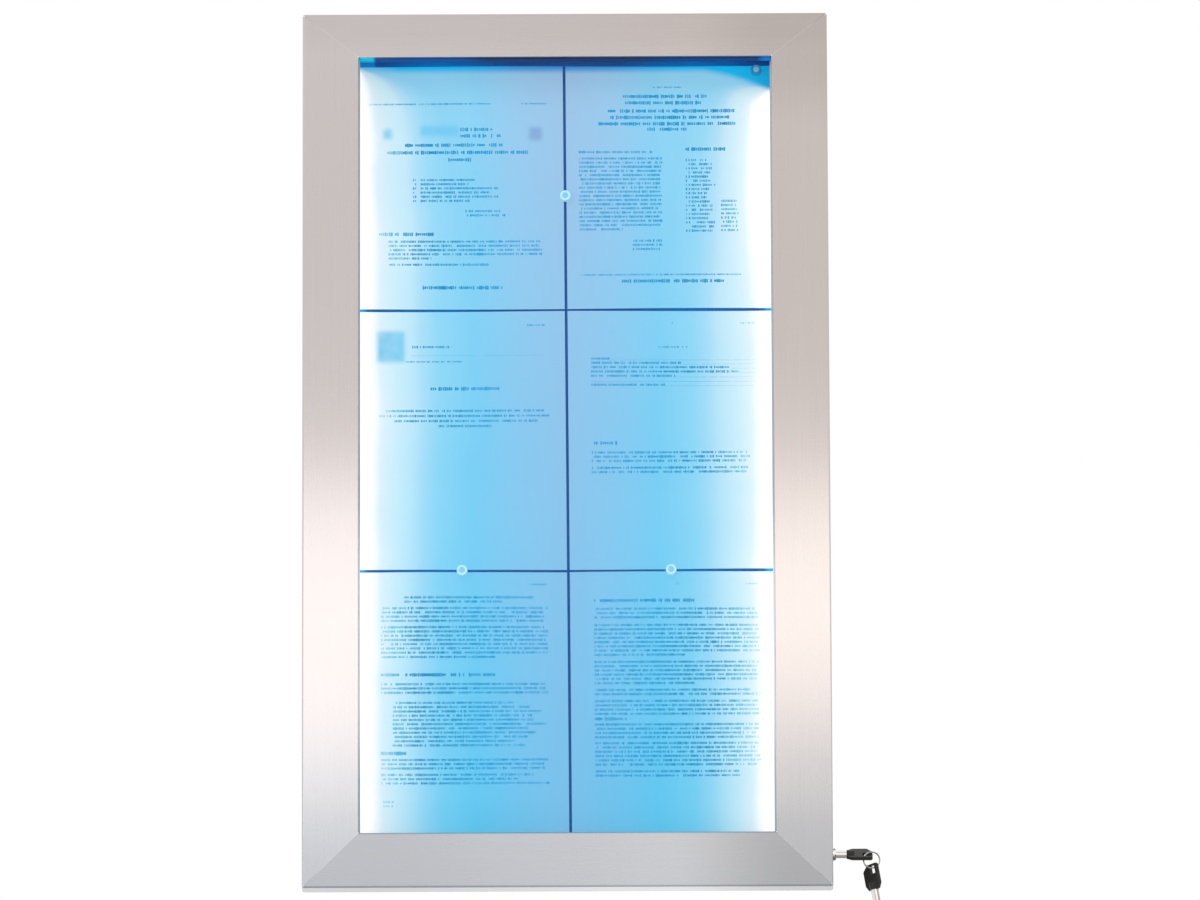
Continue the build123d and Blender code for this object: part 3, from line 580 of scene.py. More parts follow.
def light_share(tree, place):
    """The same distance as the light sees it: longer near the head, shorter in the flood at the upper right."""
    across, _, height = axes(tree, place)
    below = calc(tree, "SUBTRACT", paper_top, corner_level(tree, across, height))
    flood = times(
        tree, between(tree, height, 0.0, RIGHT_FLOOD / HALF_OPENING, *FLOOD_HEIGHTS),
        eased(tree, across, 0.0, 1.0, *FLOOD_ACROSS), between(tree, below, 0.0, 1.0, *FLOOD_BELOW),
    )
    share = calc(tree, "SUBTRACT", side_share(tree, across), flood, clamp=True)
    near_head = calc(tree, "POWER", calc(tree, "MAXIMUM", below, PRESS_LEAST), PRESS_POWER)
    base = between(tree, height, 1.0, PRESS_BASE, open_top - PRESS_REACH, open_top - PRESS_REACH / 2)
    pressed = times(tree, share, calc(tree, "MULTIPLY_ADD", near_head, PRESS_NEAR, base))
    share = calc(tree, "MAXIMUM", share, calc(tree, "MINIMUM", pressed, PRESS_LIMIT))
    wave = noise(tree, place, 1.0, 2.0, WANDER_SCALE)
    share = calc(tree, "ADD", share, between(tree, wave, -WANDER, WANDER), clamp=True)
    return share, across, height


print("half opening:", round(HALF_OPENING, 4), "top of the paper:", round(paper_top, 4))

# %% Colours of the light
EDGE_TONES = [
    (0.0, (0, 164, 218)), (0.08, (0, 174, 230)), (0.2, (0, 184, 240)), (0.42, (0, 186, 244)),
    (0.6, (40, 172, 236)), (0.8, (58, 150, 220)), (1.0, (62, 146, 218)),
]
EDGE_REACH = 9.5 * MM
EDGE_DEPTH = 1 * MM
EDGE_SIDE = 42 * MM
EDGE_SIDE_DROP = 2.5 * MM
EDGE_LEFT_SHARE = 0.4
PAPER_TINT = (1.0, 0.955, 0.915, 1.0)
TINT_SPREAD = (0.08, 0.3)


def along_opening(*stops):
    """Stops given in millimetres from the upright, as shares of half the opening."""
    return [(min(distance * MM / HALF_OPENING, 1.0), colour) for distance, colour in stops]


HEAD_LIGHT = along_opening(
    (0, (255, 255, 255)), (12, (255, 255, 255)), (20, (237, 247, 254)), (24, (229, 243, 252)),
    (37, (212, 237, 249)), (58, (197, 231, 249)), (68, (178, 223, 249)), (85, (154, 216, 247)),
    (120, (138, 208, 245)), (165, (152, 201, 239)), (216.4, (156, 195, 233)),
)
FOOT_LIGHT = along_opening(
    (0, (255, 255, 255)), (12, (255, 255, 255)), (20, (236, 247, 253)), (24, (219, 241, 252)),
    (37, (193, 232, 248)), (58, (156, 219, 248)), (68, (136, 211, 247)), (85, (110, 204, 245)),
    (120, (90, 197, 242)), (165, (104, 193, 239)), (216.4, (116, 190, 236)),
)


def edge_share(tree, across, height):
    """1 at the head of the top sheets, 0 below its reach, reaching further down in the right corner."""
    side = (open_left, open_left + EDGE_SIDE)
    drop = between(tree, across, EDGE_SIDE_DROP, 0.0, *side)
    level = calc(tree, "SUBTRACT", corner_level(tree, across, height), drop)
    depth = eased(tree, level, 0.0, 1.0, paper_top - EDGE_REACH, paper_top - EDGE_DEPTH)
    return times(tree, depth, between(tree, across, EDGE_LEFT_SHARE, 1.0, *side))


def lit_colour(tree, place):
    """The colour of the light on the sheets at a point, and how far in it is."""
    share, across, height = light_share(tree, place)
    rise = between(tree, height, 0.0, 1.0, open_bottom, open_top)
    colour = mixed(tree, rise, ramp(tree, share, FOOT_LIGHT), ramp(tree, share, HEAD_LIGHT))
    tint = mixed(tree, between(tree, share, 0.0, 1.0, *TINT_SPREAD), WHITE, PAPER_TINT)
    colour = dimmed(tree, colour, tint)
    edge_colour = ramp(tree, side_share(tree, across), EDGE_TONES)
    return mixed(tree, edge_share(tree, across, height), colour, edge_colour), share


print("stops:", len(HEAD_LIGHT), len(FOOT_LIGHT), len(EDGE_TONES))

# %% Paper finish
GLOW = 0.66
DAY_SHARE = 0.5
FLOOD_GAIN = 1.35
FLOOD_SHARE = 0.12
FIBRE_LEAST = 0.95
FIBRE_SCALE = 700.0
COCKLE_SCALE = 14.0
WASH_SCALE = 90.0
WASH_EDGE = 4 * MM
WASH_SHARES = (0.5, 1.0)

# Soft blocks of colour where a page has a picture: middle across and up, half width and height, and tone
WASHES = (
    (-182.8, 117.9, 14.3, 16.5, (96, 192, 232)), (-186.3, 349.1, 4.5, 5.5, (112, 200, 238)),
    (-31.1, 349.1, 6.5, 7.0, (126, 156, 204)), (-131.8, 352.5, 20.0, 5.5, (104, 192, 234)),
)


def washed(tree, place, colour):
    """A colour with the soft blocks laid over it."""
    across, _, height = axes(tree, place)
    uneven = between(tree, noise(tree, place, WASH_SCALE), *WASH_SHARES)
    for middle_x, middle_z, half_x, half_z, tone in WASHES:
        mask = uneven
        for value, middle, half in ((across, middle_x, half_x), (height, middle_z, half_z)):
            off = calc(tree, "ABSOLUTE", calc(tree, "SUBTRACT", value, middle * MM))
            mask = times(tree, mask, eased(tree, off, 1.0, 0.0, half * MM - WASH_EDGE, half * MM + WASH_EDGE))
        colour = mixed(tree, mask, colour, display(*tone))
    return colour


lit_paper, tree, shader, place = new_finish("lit_paper")
colour, share = lit_colour(tree, place)
fibre = noise(tree, place, FIBRE_SCALE, 4.0)
cockle = noise(tree, place, COCKLE_SCALE)
colour = dimmed(tree, washed(tree, place, colour), between(tree, fibre, FIBRE_LEAST, 1.0))
flood = eased(tree, share, FLOOD_GAIN, 1.0, 0.0, FLOOD_SHARE)
fill(tree, shader, {
    "Base Color": mixed(tree, DAY_SHARE, BLACK, colour), "Emission Color": dimmed(tree, colour, flood),
    "Emission Strength": GLOW, "Roughness": between(tree, cockle, 0.55, 0.75), "Specular IOR Level": 0.2,
})
roughen(tree, shader, fibre, 0.1, 0.04 * MM)
print("paper finish:", lit_paper.name)

# %% [markdown]
# ## Printed sheets
# Letter-size sheets hang edge to edge in two columns. Loose paper never lies flat, so each sheet is a fine
# grid whose points come forward from the board by a sum of shallow waves, and whose inner edge leans a
# little, as the seam between the columns does. Solidify then gives it the thickness of paper.

# %% Where the separate solids of a node are
def solid_boxes(node):
    """Lowest and highest corner of each separate solid of a node."""
    shape = welded(node)
    boxes = []
    waiting = set(shape.verts)
    while waiting:
        reached = [waiting.pop()]
        for vert in reached:
            for edge in vert.link_edges:
                other = edge.other_vert(vert)
                if other in waiting:
                    waiting.discard(other)
                    reached.append(other)
        corners = list(zip(*(vert.co for vert in reached)))
        boxes.append((Vector(map(min, corners)), Vector(map(max, corners))))
    shape.free()
    return sorted(boxes, key=lambda corners: tuple(round(v, 6) for v in corners[0]))


print("magnets:", len(solid_boxes("magnet_caps")))

# %% How a sheet hangs
SEAM_LEAN_TOP = -1.0 * MM
SEAM_LEAN_FOOT = 3.4 * MM
SEAM_EASE = 0.45 * MM
RIPPLE = 0.35 * MM
EDGE_BOW = 0.45 * MM
ROW_EASE = 0.35 * MM
HOLD_REACH = 28 * MM
HOLD_FLAT = 0.3

# Waves in radians per metre: of the edges, across the sheet, up it, their skew, and up its outer edge
BOW_WAVE, CROSS_WAVE, RISE_WAVE, SKEW_WAVE, SIDE_WAVE = 17, 23, 19, 7, 41

board_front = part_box("magnet_board")[0].y
pins = [(low + high) / 2 for low, high in solid_boxes("magnet_caps")]
sheet_names = [f"{row}_{column}" for row in ("top", "middle", "bottom") for column in ("left", "right")]
waves = {name: [random.Random(name).uniform(0, math.tau) for _ in range(4)] for name in sheet_names}


def hung(name, x, z, proud=0.0):
    """Where a point of a flat sheet goes once the sheet hangs on the board."""
    low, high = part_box(f"sheet_{name}")
    a, b, c, d = waves[name]
    middle = (low.z + high.z) / 2
    half = (high.z - low.z) / 2
    drop = (open_top - z) / (open_top - open_bottom)
    lean = SEAM_LEAN_TOP + (SEAM_LEAN_FOOT - SEAM_LEAN_TOP) * drop
    shift = (lean + math.copysign(SEAM_EASE, x)) * (1 - min(abs(x) / HALF_OPENING, 1.0))
    bow = (EDGE_BOW * math.sin(x * BOW_WAVE + c) - ROW_EASE) * (z - middle) / half
    lift = RIPPLE * (2 + math.sin(x * CROSS_WAVE + a) + math.sin(z * RISE_WAVE + x * SKEW_WAVE + b)) / 2
    lift += RIPPLE * (1 + math.sin(z * SIDE_WAVE + d)) * abs(x) / HALF_OPENING
    loose = min(math.hypot(x - pin.x, z - pin.z) / HOLD_REACH for pin in pins)
    lift = board_front - low.y + lift * min(max(loose - HOLD_FLAT, 0.0), 1.0)
    return Vector((x + shift, board_front - lift - proud, z + bow))


print("sheets:", len(sheet_names), "held at", len(pins), "places")

# %% Hang the sheets
SHEET_STEP = 9 * MM
SHEET_THICKNESS = 0.12 * MM


def hung_sheet(name):
    """One sheet of paper as a rippled grid."""
    node = f"sheet_{name}"
    low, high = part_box(node)
    wide = high.x - low.x
    columns = math.ceil(wide / SHEET_STEP)
    rows = math.ceil((high.z - low.z) / SHEET_STEP)
    tall = high.z - low.z + (TOP_REACH if name.startswith("top") else 0.0)
    shape = bmesh.new()
    grid = []
    for row in range(rows + 1):
        z = low.z + tall * row / rows
        places = [hung(name, low.x + wide * column / columns, z) for column in range(columns + 1)]
        grid.append([shape.verts.new(spot) for spot in places])
    for lower, upper in zip(grid, grid[1:]):
        for i in range(columns):
            shape.faces.new((lower[i], lower[i + 1], upper[i + 1], upper[i]))
    bmesh.ops.recalc_face_normals(shape, faces=shape.faces)
    if shape.faces[:][0].normal.y > 0:
        bmesh.ops.reverse_faces(shape, faces=shape.faces)
    piece = made(f"paper_{name}", shape)
    solid = piece.modifiers.new("thickness", "SOLIDIFY")
    solid.thickness = SHEET_THICKNESS
    solid.offset = -1
    shade(bake(piece))
    ready(piece, "case", "paper", lit_paper, node)


for sheet_name in sheet_names:
    hung_sheet(sheet_name)

# %% [markdown]
# ## Printing on the sheets
# From the camera's distance type reads as grey lines of small upright marks, so the printing is made as
# that: marks, not letters. One Geometry Nodes tree does it. Its input is a mesh of edges, one for each line
# of type. It walks along each edge, drops a mark every letter's width, leaves some out at random as the
# spaces between words, and varies the size of the rest. The marks are then bent onto the hanging sheet by
# the same rule that bent the paper.

# %% Helpers for geometry trees
def new_tree(name, *inputs):
    """A geometry node tree with a geometry input and the named inputs given as (name, kind)."""
    tree = bpy.data.node_groups.new(name, "GeometryNodeTree")
    tree.interface.new_socket("Geometry", in_out="INPUT", socket_type="NodeSocketGeometry")
    tree.interface.new_socket("Geometry", in_out="OUTPUT", socket_type="NodeSocketGeometry")
    for title, kind in inputs:
        tree.interface.new_socket(title, in_out="INPUT", socket_type=f"NodeSocket{kind}")
    return tree, tree.nodes.new("NodeGroupInput").outputs


def close_tree(tree, geometry, finish):
    """End a tree in real geometry with its finish on it."""
    solid = add(tree, "GeometryNodeRealizeInstances", {"Geometry": geometry})
    painted = add(tree, "GeometryNodeSetMaterial", {"Geometry": solid, "Material": finish})
    fill(tree, tree.nodes.new("NodeGroupOutput"), {0: painted})
    print("node tree:", tree.name, "nodes:", len(tree.nodes))


def spread(tree, low, high, seed):
    """A random number for each point."""
    return add(tree, "FunctionNodeRandomValue", {2: low, 3: high, "Seed": seed}, output=1)


def grow(holder, tree, inputs):
    """Replace the mesh of an object by the plain mesh that a node tree makes from it."""
    modifier = holder.modifiers.new("grow", "NODES")
    modifier.node_group = tree
    for item in tree.interface.items_tree:
        if item.in_out == "INPUT" and item.name in inputs:
            modifier[item.identifier] = inputs[item.name]
    bake(holder)


print("helpers for geometry trees ready")

# %% A node tree that sets type
SPACE_SHARE = 0.15
SPACE_SEED = 80.0
WIDE_SEED = 40.0
TALL_MARKS = (0.75, 1.45)
WIDE_MARKS = (0.6, 1.2)

type_tree, entry = new_tree(
    "set_type", ("Letter step", "Float"), ("Letter width", "Float"), ("Letter height", "Float"),
    ("Ink depth", "Float"), ("Seed", "Int"), ("Finish", "Material"),
)
rows = add(type_tree, "GeometryNodeMeshToCurve", {"Mesh": entry["Geometry"]})
walk = {"Curve": rows, "Length": entry["Letter step"]}
marks = add(type_tree, "GeometryNodeCurveToPoints", walk, mode="LENGTH")
chance = {"Probability": SPACE_SHARE, "Seed": calc(type_tree, "ADD", entry["Seed"], SPACE_SEED)}
space = add(type_tree, "FunctionNodeRandomValue", chance, output=3, data_type="BOOLEAN")
gaps = {"Geometry": marks, "Selection": space}
words = add(type_tree, "GeometryNodeDeleteGeometry", gaps, domain="POINT")
tall = spread(type_tree, *TALL_MARKS, entry["Seed"])
wide = spread(type_tree, *WIDE_MARKS, calc(type_tree, "ADD", entry["Seed"], WIDE_SEED))
reach = add(type_tree, "ShaderNodeCombineXYZ", {0: wide, 1: 1.0, 2: tall})
extent = {0: entry["Letter width"], 1: entry["Ink depth"], 2: entry["Letter height"]}
mark = add(type_tree, "GeometryNodeMeshCube", {"Size": add(type_tree, "ShaderNodeCombineXYZ", extent)})
placed = {"Points": words, "Instance": mark, "Scale": reach}
close_tree(type_tree, add(type_tree, "GeometryNodeInstanceOnPoints", placed), entry["Finish"])

# %% Ink finish
INK = [
    (0.0, (226, 242, 250)), (0.08, (176, 222, 240)), (0.17, (80, 180, 218)), (0.27, (0, 134, 184)),
    (0.45, (0, 134, 188)), (0.62, (10, 148, 202)), (1.0, (44, 150, 208)),
]
INK_SPECK = display(120, 200, 236)
INK_SPECK_SHARE = 0.16

lit_ink, tree, shader, place = new_finish("lit_ink")
share, _, _ = light_share(tree, place)
speckle = noise(tree, place, 900.0)
colour = mixed(tree, between(tree, speckle, 0.0, INK_SPECK_SHARE), ramp(tree, share, INK), INK_SPECK)
fill(tree, shader, {
    "Base Color": mixed(tree, DAY_SHARE, BLACK, colour), "Emission Color": colour, "Emission Strength": GLOW,
    "Roughness": between(tree, speckle, 0.5, 0.8), "Specular IOR Level": 0.05,
})
print("ink finish:", lit_ink.name)

# %% Lay out the pages
# Styles of type in millimetres: from line to line, from mark to mark, width and height of a mark
STYLES = {
    "small": (4.4, 1.35, 1.0, 1.4),
    "body": (4.55, 1.62, 1.3, 2.0),
    "open": (5.5, 1.62, 1.3, 2.0),
    "bold": (7.0, 2.1, 1.9, 2.9),
    "rule": (5.0, 0.9, 1.2, 0.22),
}

# Blocks of type on each sheet: left and right edge, first line down from the head, lines, ragged share
PAGES = {
    "top_left": {
        "small": ((11, 139, 38), (172, 198, 38)),
        "body": (
            (58, 60, 121, 6), (66, 150, 121, 6, 0.5), (113, 154, 155, 2, 0.2), (32, 195, 188, 4, 0.03),
            (32, 76, 206.2), (33, 138, 213),
        ),
        "bold": (
            (106, 140, 66), (108, 149, 73), (50, 151, 83), (31, 178, 91), (93, 118, 99), (22, 80, 180),
            (68, 150, 238),
        ),
    },
    "top_right": {
        "small": ((92, 121, 20), (15, 182, 225)),
        "body": (
            (14, 90, 91), (14, 100, 98, 17, 0.04), (14, 60, 175.4), (126, 129, 100, 18),
            (132, 156, 100, 18, 0.4), (163, 180, 145, 8, 0.2), (70, 102, 188, 3, 0.2),
        ),
        "bold": (
            (61, 148, 30, 2, 0.1), (45, 177, 46, 2, 0.05), (35, 177, 60), (86, 128, 66), (126, 166, 88),
            (58, 166, 232),
        ),
    },
    "middle_left": {
        "small": ((177, 194, 15), (50, 107, 54)),
        "body": ((55, 94, 38),),
        "open": ((29, 194, 107.5), (22, 198, 113), (38, 186, 118.5), (84, 138, 124)),
        "bold": ((76, 146, 83.5),),
        "rule": ((54, 120, 47.5), (133, 194, 47.5)),
    },
    "middle_right": {
        "small": ((108, 110, 13), (182, 197, 13), (96, 125, 39)),
        "body": (
            (25, 43, 51.7), (25, 118, 56.2), (25, 169, 60.9), (25, 179, 65.6), (25, 112, 70.3), (25, 101, 80),
            (25, 194, 153.3, 3, 0.06), (25, 190, 169.8, 2, 0.1),
        ),
        "bold": ((25, 50, 143),),
        "rule": (
            (45, 197, 53), (120, 197, 57.5), (171, 197, 62.2), (181, 197, 66.9), (114, 197, 71.6),
            (25, 197, 76.4), (103, 197, 81.2),
        ),
    },
    "bottom_left": {
        "small": ((177, 194, 13), (26, 36, 246, 2, 0.2)),
        "body": (
            (48, 190, 27, 2, 0.3), (24, 196, 38.5, 4, 0.04), (24, 196, 59, 7, 0.03), (24, 140, 91),
            (24, 196, 120, 3, 0.03), (36, 196, 140, 11, 0.25), (24, 196, 201, 3, 0.03), (24, 196, 217, 3, 0.2),
        ),
        "bold": ((24, 140, 110), (24, 48, 194)),
    },
    "bottom_right": {
        "small": ((113, 115, 13), (186, 199, 13)),
        "body": (
            (26, 200, 40, 3, 0.04), (26, 200, 57.5, 7, 0.03), (26, 120, 89.4), (26, 200, 97, 5, 0.03),
            (26, 130, 119.8), (26, 200, 127, 2, 0.1), (26, 200, 139, 4, 0.04), (26, 200, 164, 4, 0.04),
            (26, 200, 184, 6, 0.03), (26, 190, 214, 2, 0.1),
        ),
        "bold": ((26, 130, 31), (26, 60, 158)),
    },
}
print("blocks of type:", sum(len(blocks) for page in PAGES.values() for blocks in page.values()))

# %% Print the pages
INK_DEPTH = 0.05 * MM
INK_SEAT = 0.02 * MM


def type_block(shape, sheet, leading, rng, left, right, first, count=1, ragged=0.0):
    """Add the lines of one block of type to a shape, as edges."""
    low, high = sheet
    for row in range(count):
        end = right - (right - left) * ragged * rng.random()
        z = high.z - (first + row * leading) * MM
        shape.edges.new([shape.verts.new((low.x + edge * MM, 0, z)) for edge in (left, end)])


def printed(name, seed):
    """All the printing of one sheet as one piece, bent onto the sheet."""
    rng = random.Random(seed)
    joined = bmesh.new()
    for number, (style, (leading, step, wide, tall)) in enumerate(STYLES.items()):
        if style not in PAGES[name]:
            continue
        shape = bmesh.new()
        for block in PAGES[name][style]:
            type_block(shape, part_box(f"sheet_{name}"), leading, rng, *block)
        marks = made(f"rows_{name}_{style}", shape)
        grow(marks, type_tree, {
            "Letter step": step * MM, "Letter width": wide * MM, "Letter height": tall * MM,
            "Ink depth": INK_DEPTH, "Seed": seed + number, "Finish": lit_ink,
        })
        joined.from_mesh(marks.data)
        bpy.data.objects.remove(marks)
    for vert in joined.verts:
        vert.co = hung(name, vert.co.x, vert.co.z, proud=INK_SEAT - vert.co.y)
    ready(made(f"printing_{name}", joined), "case", "paper", lit_ink)


for seed, sheet_name in enumerate(sheet_names, start=11):
    printed(sheet_name, seed)

# %% [markdown]
# ## Board and pane
# The side lamps' light on it is painted into its colour and its glow: cyan beside the uprights and a darker
# blue in the middle.
# Behind the sheets is a painted steel board, dark blue, which shows only in the seams and above the top row.
# Its paint has the fine orange-peel skin of a sprayed coat. The pane in front is clear: a transparent shader
# with a mirror laid over it by the Fresnel rule, so it shines more at a glance than head on, and lets the
# lamps through without noise.

# %% Board finish
# Painted light: the side lamps' light on the board, cyan beside the uprights and darker blue in the middle,
# with lit tones at the head and a bright cyan at the left end of the head; its glow is painted light too
BOARD_LIGHT_TONES = [
    (0.0, (4, 186, 244)), (0.015, (4, 186, 244)), (0.04, (6, 112, 182)), (0.1, (3, 98, 166)),
    (0.45, (3, 99, 166)), (0.65, (26, 80, 140)), (1.0, (28, 78, 138)),
]
BOARD_HEAD_LIGHT_TONES = [
    (0.04, (10, 80, 160)), (0.12, (12, 86, 170)), (0.22, (2, 107, 190)), (0.38, (0, 122, 206)),
    (0.55, (6, 108, 192)), (0.75, (26, 84, 158)), (1.0, (32, 88, 164)),
]
BOARD_CORNER_LIGHT = display(0, 150, 236)
BOARD_CORNER_EDGE = (open_left + 15 * MM, open_left + 19 * MM)
BOARD_HEAD = (paper_top - 8 * MM, paper_top - 5 * MM)
BOARD_STAIN = display(10, 60, 120)
BOARD_STAIN_SHARE = 0.2
BOARD_STAIN_SCALE = 60.0
BOARD_PEEL_SCALE = 1500.0
BOARD_GLOW = 0.25

board_paint, tree, shader, place = new_finish("board_paint")
share, across, height = light_share(tree, place)
peel = noise(tree, place, BOARD_PEEL_SCALE)
head_colour = ramp(tree, side_share(tree, across), BOARD_HEAD_LIGHT_TONES)
head_colour = mixed(tree, between(tree, across, 1.0, 0.0, *BOARD_CORNER_EDGE), head_colour, BOARD_CORNER_LIGHT)
at_head = between(tree, height, 0.0, 1.0, *BOARD_HEAD)
colour = mixed(tree, at_head, ramp(tree, share, BOARD_LIGHT_TONES), head_colour)
stain = between(tree, noise(tree, place, BOARD_STAIN_SCALE), 0.0, BOARD_STAIN_SHARE)
colour = mixed(tree, stain, colour, BOARD_STAIN)
fill(tree, shader, {
    "Base Color": colour, "Emission Color": colour, "Emission Strength": BOARD_GLOW,
    "Roughness": between(tree, peel, 0.38, 0.52), "Specular IOR Level": 0.12,
})
roughen(tree, shader, peel, 0.15, 0.05 * MM)
print("board finish:", board_paint.name)

# %% Pane finish
PANE_INDEX = 1.12
PANE_TINT = (0.985, 0.995, 0.992, 1.0)
SMEAR_STRETCH = (1, 1, 0.4)
SMEAR_ROUGH = (0.0, 0.06)
SMEAR_SPREAD = (0.45, 0.75)

clear_pane, tree, shader, place = new_finish("clear_pane")
tree.nodes.remove(shader)
smear = noise(tree, place, 9.0, 4.0, SMEAR_STRETCH)
smear = between(tree, smear, *SMEAR_ROUGH, *SMEAR_SPREAD)
mirror = add(tree, "ShaderNodeBsdfGlossy", {"Color": WHITE, "Roughness": smear})
through = add(tree, "ShaderNodeBsdfTransparent", {"Color": PANE_TINT})
gloss = add(tree, "ShaderNodeFresnel", {"IOR": PANE_INDEX})
surface = add(tree, "ShaderNodeMixShader", {0: gloss, 1: through, 2: mirror})
fill(tree, tree.nodes["Material Output"], {"Surface": surface})
print("pane finish:", clear_pane.name)

# %% [markdown]
# ## The other finishes
# Folded tray steel, zinc-plated fittings, drawn aluminium, moulded plastic and rubber: each is one of two
# recipes. A metal gets two close tones, stretched noise for its roll or draw lines and a broken roughness.
# A moulded part gets the fine grain of its mould and slight wear tones. Their numbers differ, and they are
# set where each finish is made.

# %% Metal and moulded recipes
METAL_SPREAD = (0.35, 0.65)
METAL_CLOUDS = 24.0
SKIN_SPREAD = (0.3, 0.7)
SKIN_CLOUDS = 40.0


def metal(name, light, dark, shine, matt, scale, stretch=(1, 1, 1), bump=0.08):
    """A metal between two tones, with lines drawn out by stretch."""
    finish, tree, shader, place = new_finish(name)
    lines = noise(tree, place, scale, 3.0, stretch)
    clouds = noise(tree, place, METAL_CLOUDS, 3.0)
    share = times(tree, calc(tree, "ADD", lines, clouds), 0.5)
    tone = mixed(tree, between(tree, share, 0.0, 1.0, *METAL_SPREAD), display(*dark), display(*light))
    rough = between(tree, share, shine, matt, *METAL_SPREAD)
    fill(tree, shader, {"Base Color": tone, "Roughness": rough, "Metallic": 1.0})
    roughen(tree, shader, lines, bump, 0.04 * MM)
    return finish


def moulded(name, light, dark, shine, matt, grain, bump=0.12):
    """A plastic or rubber with the grain of its mould."""
    finish, tree, shader, place = new_finish(name)
    skin = noise(tree, place, grain, 3.0)
    tone = mixed(tree, noise(tree, place, SKIN_CLOUDS, 3.0), display(*dark), display(*light))
    rough = between(tree, skin, shine, matt, *SKIN_SPREAD)
    fill(tree, shader, {"Base Color": tone, "Roughness": rough})
    roughen(tree, shader, skin, bump, 0.05 * MM)
    return finish


print("two recipes ready")

# %% Plain finishes
tray_steel = metal("tray_steel", (184, 186, 188), (173, 176, 179), 0.34, 0.43, 420.0, (1, 1, 0.04))
zinc_plate = metal("zinc_plate", (206, 209, 213), (182, 187, 196), 0.22, 0.38, 400.0)
drawn_aluminium = metal("drawn_aluminium", (208, 210, 212), (188, 190, 194), 0.26, 0.40, 900.0, (1, 1, 0.01))
nickel = metal("nickel", (200, 196, 188), (176, 172, 164), 0.14, 0.26, 500.0)
lock_chrome = metal("lock_chrome", (212, 214, 216), (186, 188, 192), 0.12, 0.26, 700.0)
lamp_end = moulded("lamp_end", (178, 181, 184), (160, 163, 167), 0.42, 0.58, 1200.0)
lead_vinyl = moulded("lead_vinyl", (34, 35, 38), (22, 23, 25), 0.36, 0.52, 900.0)
seal_rubber = moulded("seal_rubber", (40, 41, 43), (26, 27, 29), 0.62, 0.82, 1400.0, 0.3)
pane_rubber = moulded("pane_rubber", (192, 199, 205), (174, 183, 190), 0.55, 0.72, 1400.0, 0.2)
key_plastic = moulded("key_plastic", (38, 33, 30), (20, 17, 15), 0.24, 0.38, 1800.0, 0.1)
key_plastic.node_tree.nodes["Principled BSDF"].inputs["Specular IOR Level"].default_value = 0.3
terminal_white = moulded("terminal_white", (232, 232, 226), (214, 214, 208), 0.38, 0.52, 1200.0)
ring_steel = metal("ring_steel", (186, 182, 178), (112, 108, 104), 0.14, 0.26, 160.0)
# The welds' near-white tone is partly polish and partly a painted highlight along the mitres
weld_steel = metal("weld_steel", (250, 249, 248), (232, 230, 229), 0.34, 0.46, 700.0, (1, 1, 1), 0.05)
print("finishes:", len(bpy.data.materials))

# %% Gasket finish
# Painted light on the gasket: a painted highlight where the lamp's pale band crosses the uprights, and the
# painted blue light and shade of the strip under the top rail
GASKET_BAND_HIGHLIGHT = display(236, 239, 241)
GASKET_HEAD = (open_top - 6 * MM, open_top - 2 * MM)

tree = pane_rubber.node_tree
shader = tree.nodes["Principled BSDF"]
grey = shader.inputs["Base Color"].links[0].from_socket
across, _, height = axes(tree, add(tree, "ShaderNodeTexCoord", {}, output="Object"))
grey = mixed(tree, band_share(tree, height), grey, GASKET_BAND_HIGHLIGHT)
at_head = between(tree, height, 0.0, 1.0, *GASKET_HEAD)
fill(tree, shader, {"Base Color": mixed(tree, at_head, grey, head_tone(tree, across))})
print("gasket finish:", pane_rubber.name)

# %% Lamp finishes
LAMP_GLOW = 1.6
STRIP_GLOW = 0.1
COVER_LIGHT = (0.72, 0.92, 1.0, 1.0)
CHIP_LIGHT = (0.8, 0.95, 1.0, 1.0)


def lit(finish, colour, strength):
    """Let a finish give light too."""
    tree = finish.node_tree
    fill(tree, tree.nodes["Principled BSDF"], {"Emission Color": colour, "Emission Strength": strength})


opal_cover = moulded("opal_cover", (246, 250, 252), (236, 243, 248), 0.35, 0.5, 800.0)
lamp_strip = moulded("lamp_strip", (240, 240, 236), (222, 222, 216), 0.35, 0.5, 700.0)
lamp_chip = moulded("lamp_chip", (250, 232, 150), (240, 214, 120), 0.35, 0.5, 900.0)
lit(opal_cover, COVER_LIGHT, LAMP_GLOW)
lit(lamp_strip, CHIP_LIGHT, STRIP_GLOW)
lit(lamp_chip, CHIP_LIGHT, LAMP_GLOW)
print("lamp finishes ready")

# %% [markdown]
# ## Magnets, screws and rivets
# Small parts that repeat are one template each, put on every place where the solids have one. The places are
# read from the solids themselves. A template is a profile turned round an axis, and a screw's cross recess is
# cut out with a Boolean. A Geometry Nodes tree copies the template to the points, turns it to face the right
# way, spins each copy a little at random and makes it real.

# %% A turned template
def turned(name, profile, sides):
    """A closed solid turned round Z from a profile of (radius, height) points, from axis to axis."""
    shape = bmesh.new()
    turns = [math.tau * i / sides for i in range(sides)]
    rings = []
    for radius, height in profile:
        around = turns if radius else turns[:1]
        spots = [(radius * math.cos(t), radius * math.sin(t), height) for t in around]
        rings.append([shape.verts.new(spot) for spot in spots])
    bridge(shape, rings)
    bmesh.ops.recalc_face_normals(shape, faces=shape.faces)
    piece = made(name, shape)
    shade(piece.data)
    return piece


def arc(centre, radius, start, end, steps=6):
    """Points on an arc of a profile, angles in degrees from the outward radius."""
    angles = [math.radians(start + (end - start) * i / steps) for i in range(steps + 1)]
    return [(centre[0] + radius * math.cos(a), centre[1] + radius * math.sin(a)) for a in angles]


print("turned templates ready")

# %% A node tree that repeats a template
SPIN_SEED = 5
UPWARD = (0, 0, 1)

